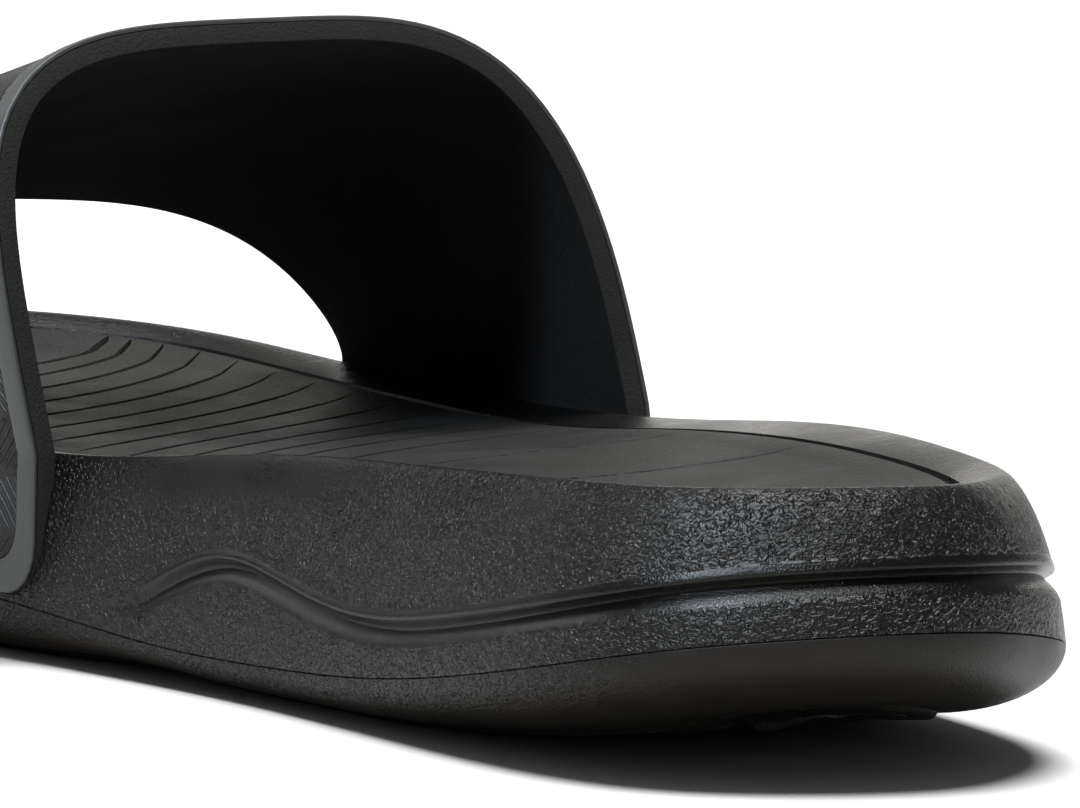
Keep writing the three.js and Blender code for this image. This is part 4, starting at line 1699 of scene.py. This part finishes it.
@dataclass
class Upper:
    """The strap's foam wall with its lining, and the frame and panel on its outer face."""

    strap: StrapForm
    columns: int = 56
    edge_round: float = 0.45 * MM
    frame_width: float = 3.6 * MM
    frame_top: float = 0.85 * MM
    frame_bottom: float = 0.03 * MM
    frame_points: int = 20
    frame_square: float = 4.0
    frame_degrees: float = 60.0
    panel_top: float = 0.55 * MM
    panel_gap: float = 0.12 * MM
    panel_round: float = 0.2 * MM

    def build_wall(self) -> bpy.types.Object:
        """Builds the foam wall. The points round its edges are marked as cut.

        Returns:
            The finished piece.
        """
        strap = self.strap
        u, v = strap.plate(0, strap.corner_radius, self.columns)
        cut = np.zeros(u.shape)
        cut[[0, -1]] = 1
        cut[:, [0, -1]] = 1
        piece = sheet("strap_wall", strap.offset(u, v, 0.0), {"cut": cut})
        modify(piece, "SOLIDIFY", thickness=strap.wall, offset=-1.0)
        round_edges(piece, self.edge_round, 4)
        seal(piece)
        smooth(piece, SHARP_DEGREES)
        return piece

    def build_frame(self) -> bpy.types.Object:
        """Builds the raised border.

        Returns:
            The finished piece.
        """
        strap = self.strap
        angle = 2 * np.pi * np.arange(self.frame_points) / self.frame_points
        power = 2 / self.frame_square
        across = 0.5 - 0.5 * np.sign(np.cos(angle)) * np.abs(np.cos(angle)) ** power
        rise = 0.5 + 0.5 * np.sign(np.sin(angle)) * np.abs(np.sin(angle)) ** power
        loops = []
        for share, lift in zip(across, rise):
            radius = strap.corner_radius - self.frame_width / 2 * share
            u, v = strap.border(self.frame_width * share, radius, self.columns)
            loops.append(strap.offset(u, v, lerp(self.frame_bottom, self.frame_top, lift)))
        piece = hoop("strap_border", np.array(loops))
        smooth(piece, self.frame_degrees)
        return piece

    def build_panel(self) -> bpy.types.Object:
        """Builds the embossed panel, with a map in metres for its ribs.

        Returns:
            The finished piece.
        """
        strap = self.strap
        radius = strap.corner_radius - self.frame_width / 2
        u, v = strap.plate(self.frame_width + self.panel_gap, radius, self.columns)
        piece = sheet("strap_skin", strap.offset(u, v, self.panel_top))
        self._map(piece, u, v)
        modify(piece, "SOLIDIFY", thickness=self.panel_top - self.frame_bottom, offset=-1.0)
        round_edges(piece, self.panel_round, 2)
        seal(piece)
        smooth(piece, SHARP_DEGREES)
        return piece

    def _map(self, piece: bpy.types.Object, u: Grid, v: Grid) -> None:
        """Stretches the grid's own map to metres along and across the strap.

        Args:
            piece: The panel's sheet.
            u: The u of its points.
            v: The v of its points.
        """
        layer = piece.data.uv_layers.active.data
        flat = np.empty(len(layer) * 2)
        layer.foreach_get("uv", flat)
        flat = flat.reshape(-1, 2)
        rows, columns = u.shape[0] - 1, u.shape[1] - 1
        row = np.rint(flat[:, 0] * rows).astype(int)
        column = np.rint(flat[:, 1] * columns).astype(int)
        width = self.strap.width_at(np.clip(u[:, 0], 0, 1))
        made = np.stack([u[row, column] * self.strap.girth, (v[row, column] - 0.5) * width[row]], axis=1)
        layer.foreach_set("uv", made.ravel())


@dataclass(frozen=True)
class SoftBox:
    """A large soft light: where it stands, where it looks, its size, power and colour."""

    name: str
    place: tuple[float, float, float]
    target: tuple[float, float, float]
    size: tuple[float, float]
    watts: float
    colour: Colour = (1.0, 1.0, 1.0)


@dataclass(frozen=True)
class Daylight:
    """An even light from far away: the way it travels, its strength and how wide it looks."""

    name: str
    travel: tuple[float, float, float]
    strength: float
    degrees: float


@dataclass
class Studio:
    """The pale floor, the soft light and the camera of the photograph."""

    shift: Grid
    camera_place: tuple[float, float, float] = (-638.4 * MM, -1273.0 * MM, 159.2 * MM)
    camera_forward: tuple[float, float, float] = (0.45971, 0.88359, -0.08909)
    camera_right: tuple[float, float, float] = (0.88782, -0.45963, 0.02261)
    focal_pixels: float = 11567.7
    image_width: float = 1080.0
    sensor_width: float = 36.0
    clip: tuple[float, float] = (0.05, 60.0)
    floor_size: float = 12.0
    floor_colour: Colour = (0.9, 0.9, 0.9)
    floor_roughness: float = 0.7
    world_colour: Colour = (1.0, 1.0, 1.0)
    world_strength: float = 0.1
    key: Daylight = Daylight("key_light", (-0.04, -0.06, -1.0), 4.2, 34.0)
    lights: tuple[SoftBox, ...] = (
        SoftBox(
            "heel_softbox", (-0.86, -0.66, 1.2), (0.0, -0.1, 0.02), (0.25, 0.45), 60.0, (0.78, 0.88, 1.0)
        ),
        SoftBox("medial_softbox", (-0.76, 1.5, 1.0), (0.0, 0.0, 0.03), (0.7, 0.5), 5.0),
        SoftBox("toe_softbox", (1.4, 2.7, 0.5), (0.0, 0.0, 0.03), (2.6, 0.6), 10.0, (1.0, 0.98, 0.93)),
    )

    def build_camera(self) -> None:
        """Places the camera as the photograph has it."""
        data = bpy.data.cameras.new("photo_camera")
        data.sensor_width = self.sensor_width
        data.lens = self.focal_pixels * self.sensor_width / self.image_width
        data.clip_start, data.clip_end = self.clip
        camera = bpy.data.objects.new("photo_camera", data)
        bpy.context.scene.collection.objects.link(camera)
        forward = Vector(self.camera_forward).normalized()
        right = Vector(self.camera_right)
        right = (right - forward * right.dot(forward)).normalized()
        up = right.cross(forward)
        turn = Matrix((right, up, -forward)).transposed()
        place = Vector(self.camera_place) + Vector((*self.shift, 0.0))
        camera.matrix_world = Matrix.Translation(place) @ turn.to_4x4()
        bpy.context.scene.camera = camera

    def build_floor(self) -> None:
        """Lays the pale floor."""
        floor = primitive("studio_floor", bpy.ops.mesh.primitive_plane_add, size=self.floor_size)
        material = bpy.data.materials.new("studio_white")
        material.use_nodes = True
        shader = material.node_tree.nodes["Principled BSDF"]
        shader.inputs["Base Color"].default_value = (*self.floor_colour, 1)
        shader.inputs["Roughness"].default_value = self.floor_roughness
        shader.inputs["Specular IOR Level"].default_value = 0.0
        floor.data.materials.append(material)

    @staticmethod
    def _hang(data: bpy.types.Light, travel: Vector) -> bpy.types.Object:
        """Hangs a light that shines one way.

        Args:
            data: The light's settings.
            travel: The way it shines.

        Returns:
            The lamp.
        """
        lamp = bpy.data.objects.new(data.name, data)
        lamp.rotation_euler = travel.to_track_quat("-Z", "Y").to_euler()
        bpy.context.scene.collection.objects.link(lamp)
        return lamp

    def build_lights(self) -> None:
        """Hangs the lights and lights the surroundings."""
        for box in self.lights:
            data = bpy.data.lights.new(box.name, "AREA")
            data.shape = "RECTANGLE"
            data.size, data.size_y = box.size
            data.energy = box.watts
            data.color = box.colour
            lamp = self._hang(data, Vector(box.target) - Vector(box.place))
            lamp.location = box.place
            lamp.visible_diffuse = False
            lamp.visible_camera = False
        sun = bpy.data.lights.new(self.key.name, "SUN")
        sun.energy = self.key.strength
        sun.angle = np.radians(self.key.degrees)
        self._hang(sun, Vector(self.key.travel))
        world = bpy.data.worlds.new("studio_air")
        world.use_nodes = True
        back = world.node_tree.nodes["Background"]
        back.inputs["Color"].default_value = (*self.world_colour, 1)
        back.inputs["Strength"].default_value = self.world_strength
        bpy.context.scene.world = world
        bpy.context.scene.view_settings.view_transform = "Standard"


class Slide:
    """The whole shoe: its form, its pieces and their finishes."""

    def __init__(self) -> None:
        """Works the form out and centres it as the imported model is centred."""
        self.sole = SoleForm()
        low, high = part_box("midsole")
        point = self.sole.stations().point
        middle = (point.min(axis=0) + point.max(axis=0)) / 2
        self.sole.shift = np.array([(low.x + high.x) / 2, (low.y + high.y) / 2]) - middle
        self.strap = StrapForm(self.sole)
        self.effects = Effects()

    def dress(self, piece: bpy.types.Object, node: str, finish: Finish) -> None:
        """Gives a piece its finish and lets it stand for its node.

        Args:
            piece: The finished piece.
            node: The node that it replaces.
            finish: Its finish.
        """
        piece.data.materials.clear()
        piece.data.materials.append(finish.build(self.effects))
        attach(piece, ROOT)
        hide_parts(node)
        LOG.info("%s: %d faces, replaces %s", piece.name, len(piece.data.polygons), node)

    def build(self) -> None:
        """Builds and dresses every piece."""
        at = self.sole.stations()
        upper = Upper(self.strap)
        self.dress(Outsole(self.sole).build(at), "outsole", OUTSOLE_RUBBER)
        self.dress(Midsole(self.sole, self.strap).build(at), "midsole", MIDSOLE_FOAM)
        self.dress(Footbed(self.sole).build(at), "footbed", FOOTBED_FOAM)
        self.dress(upper.build_wall(), "strap", STRAP_FOAM)
        self.dress(upper.build_frame(), "strap_frame", FRAME_SKIN)
        self.dress(upper.build_panel(), "strap_panel", PANEL_SKIN)


def main() -> None:
    """Builds the shoe and its studio."""
    logging.basicConfig(level=logging.INFO, format="%(name)s: %(message)s")
    slide = Slide()
    studio = Studio(slide.sole.shift)
    studio.build_camera()
    studio.build_floor()
    studio.build_lights()
    slide.build()


if __name__ == "__main__":
    main()
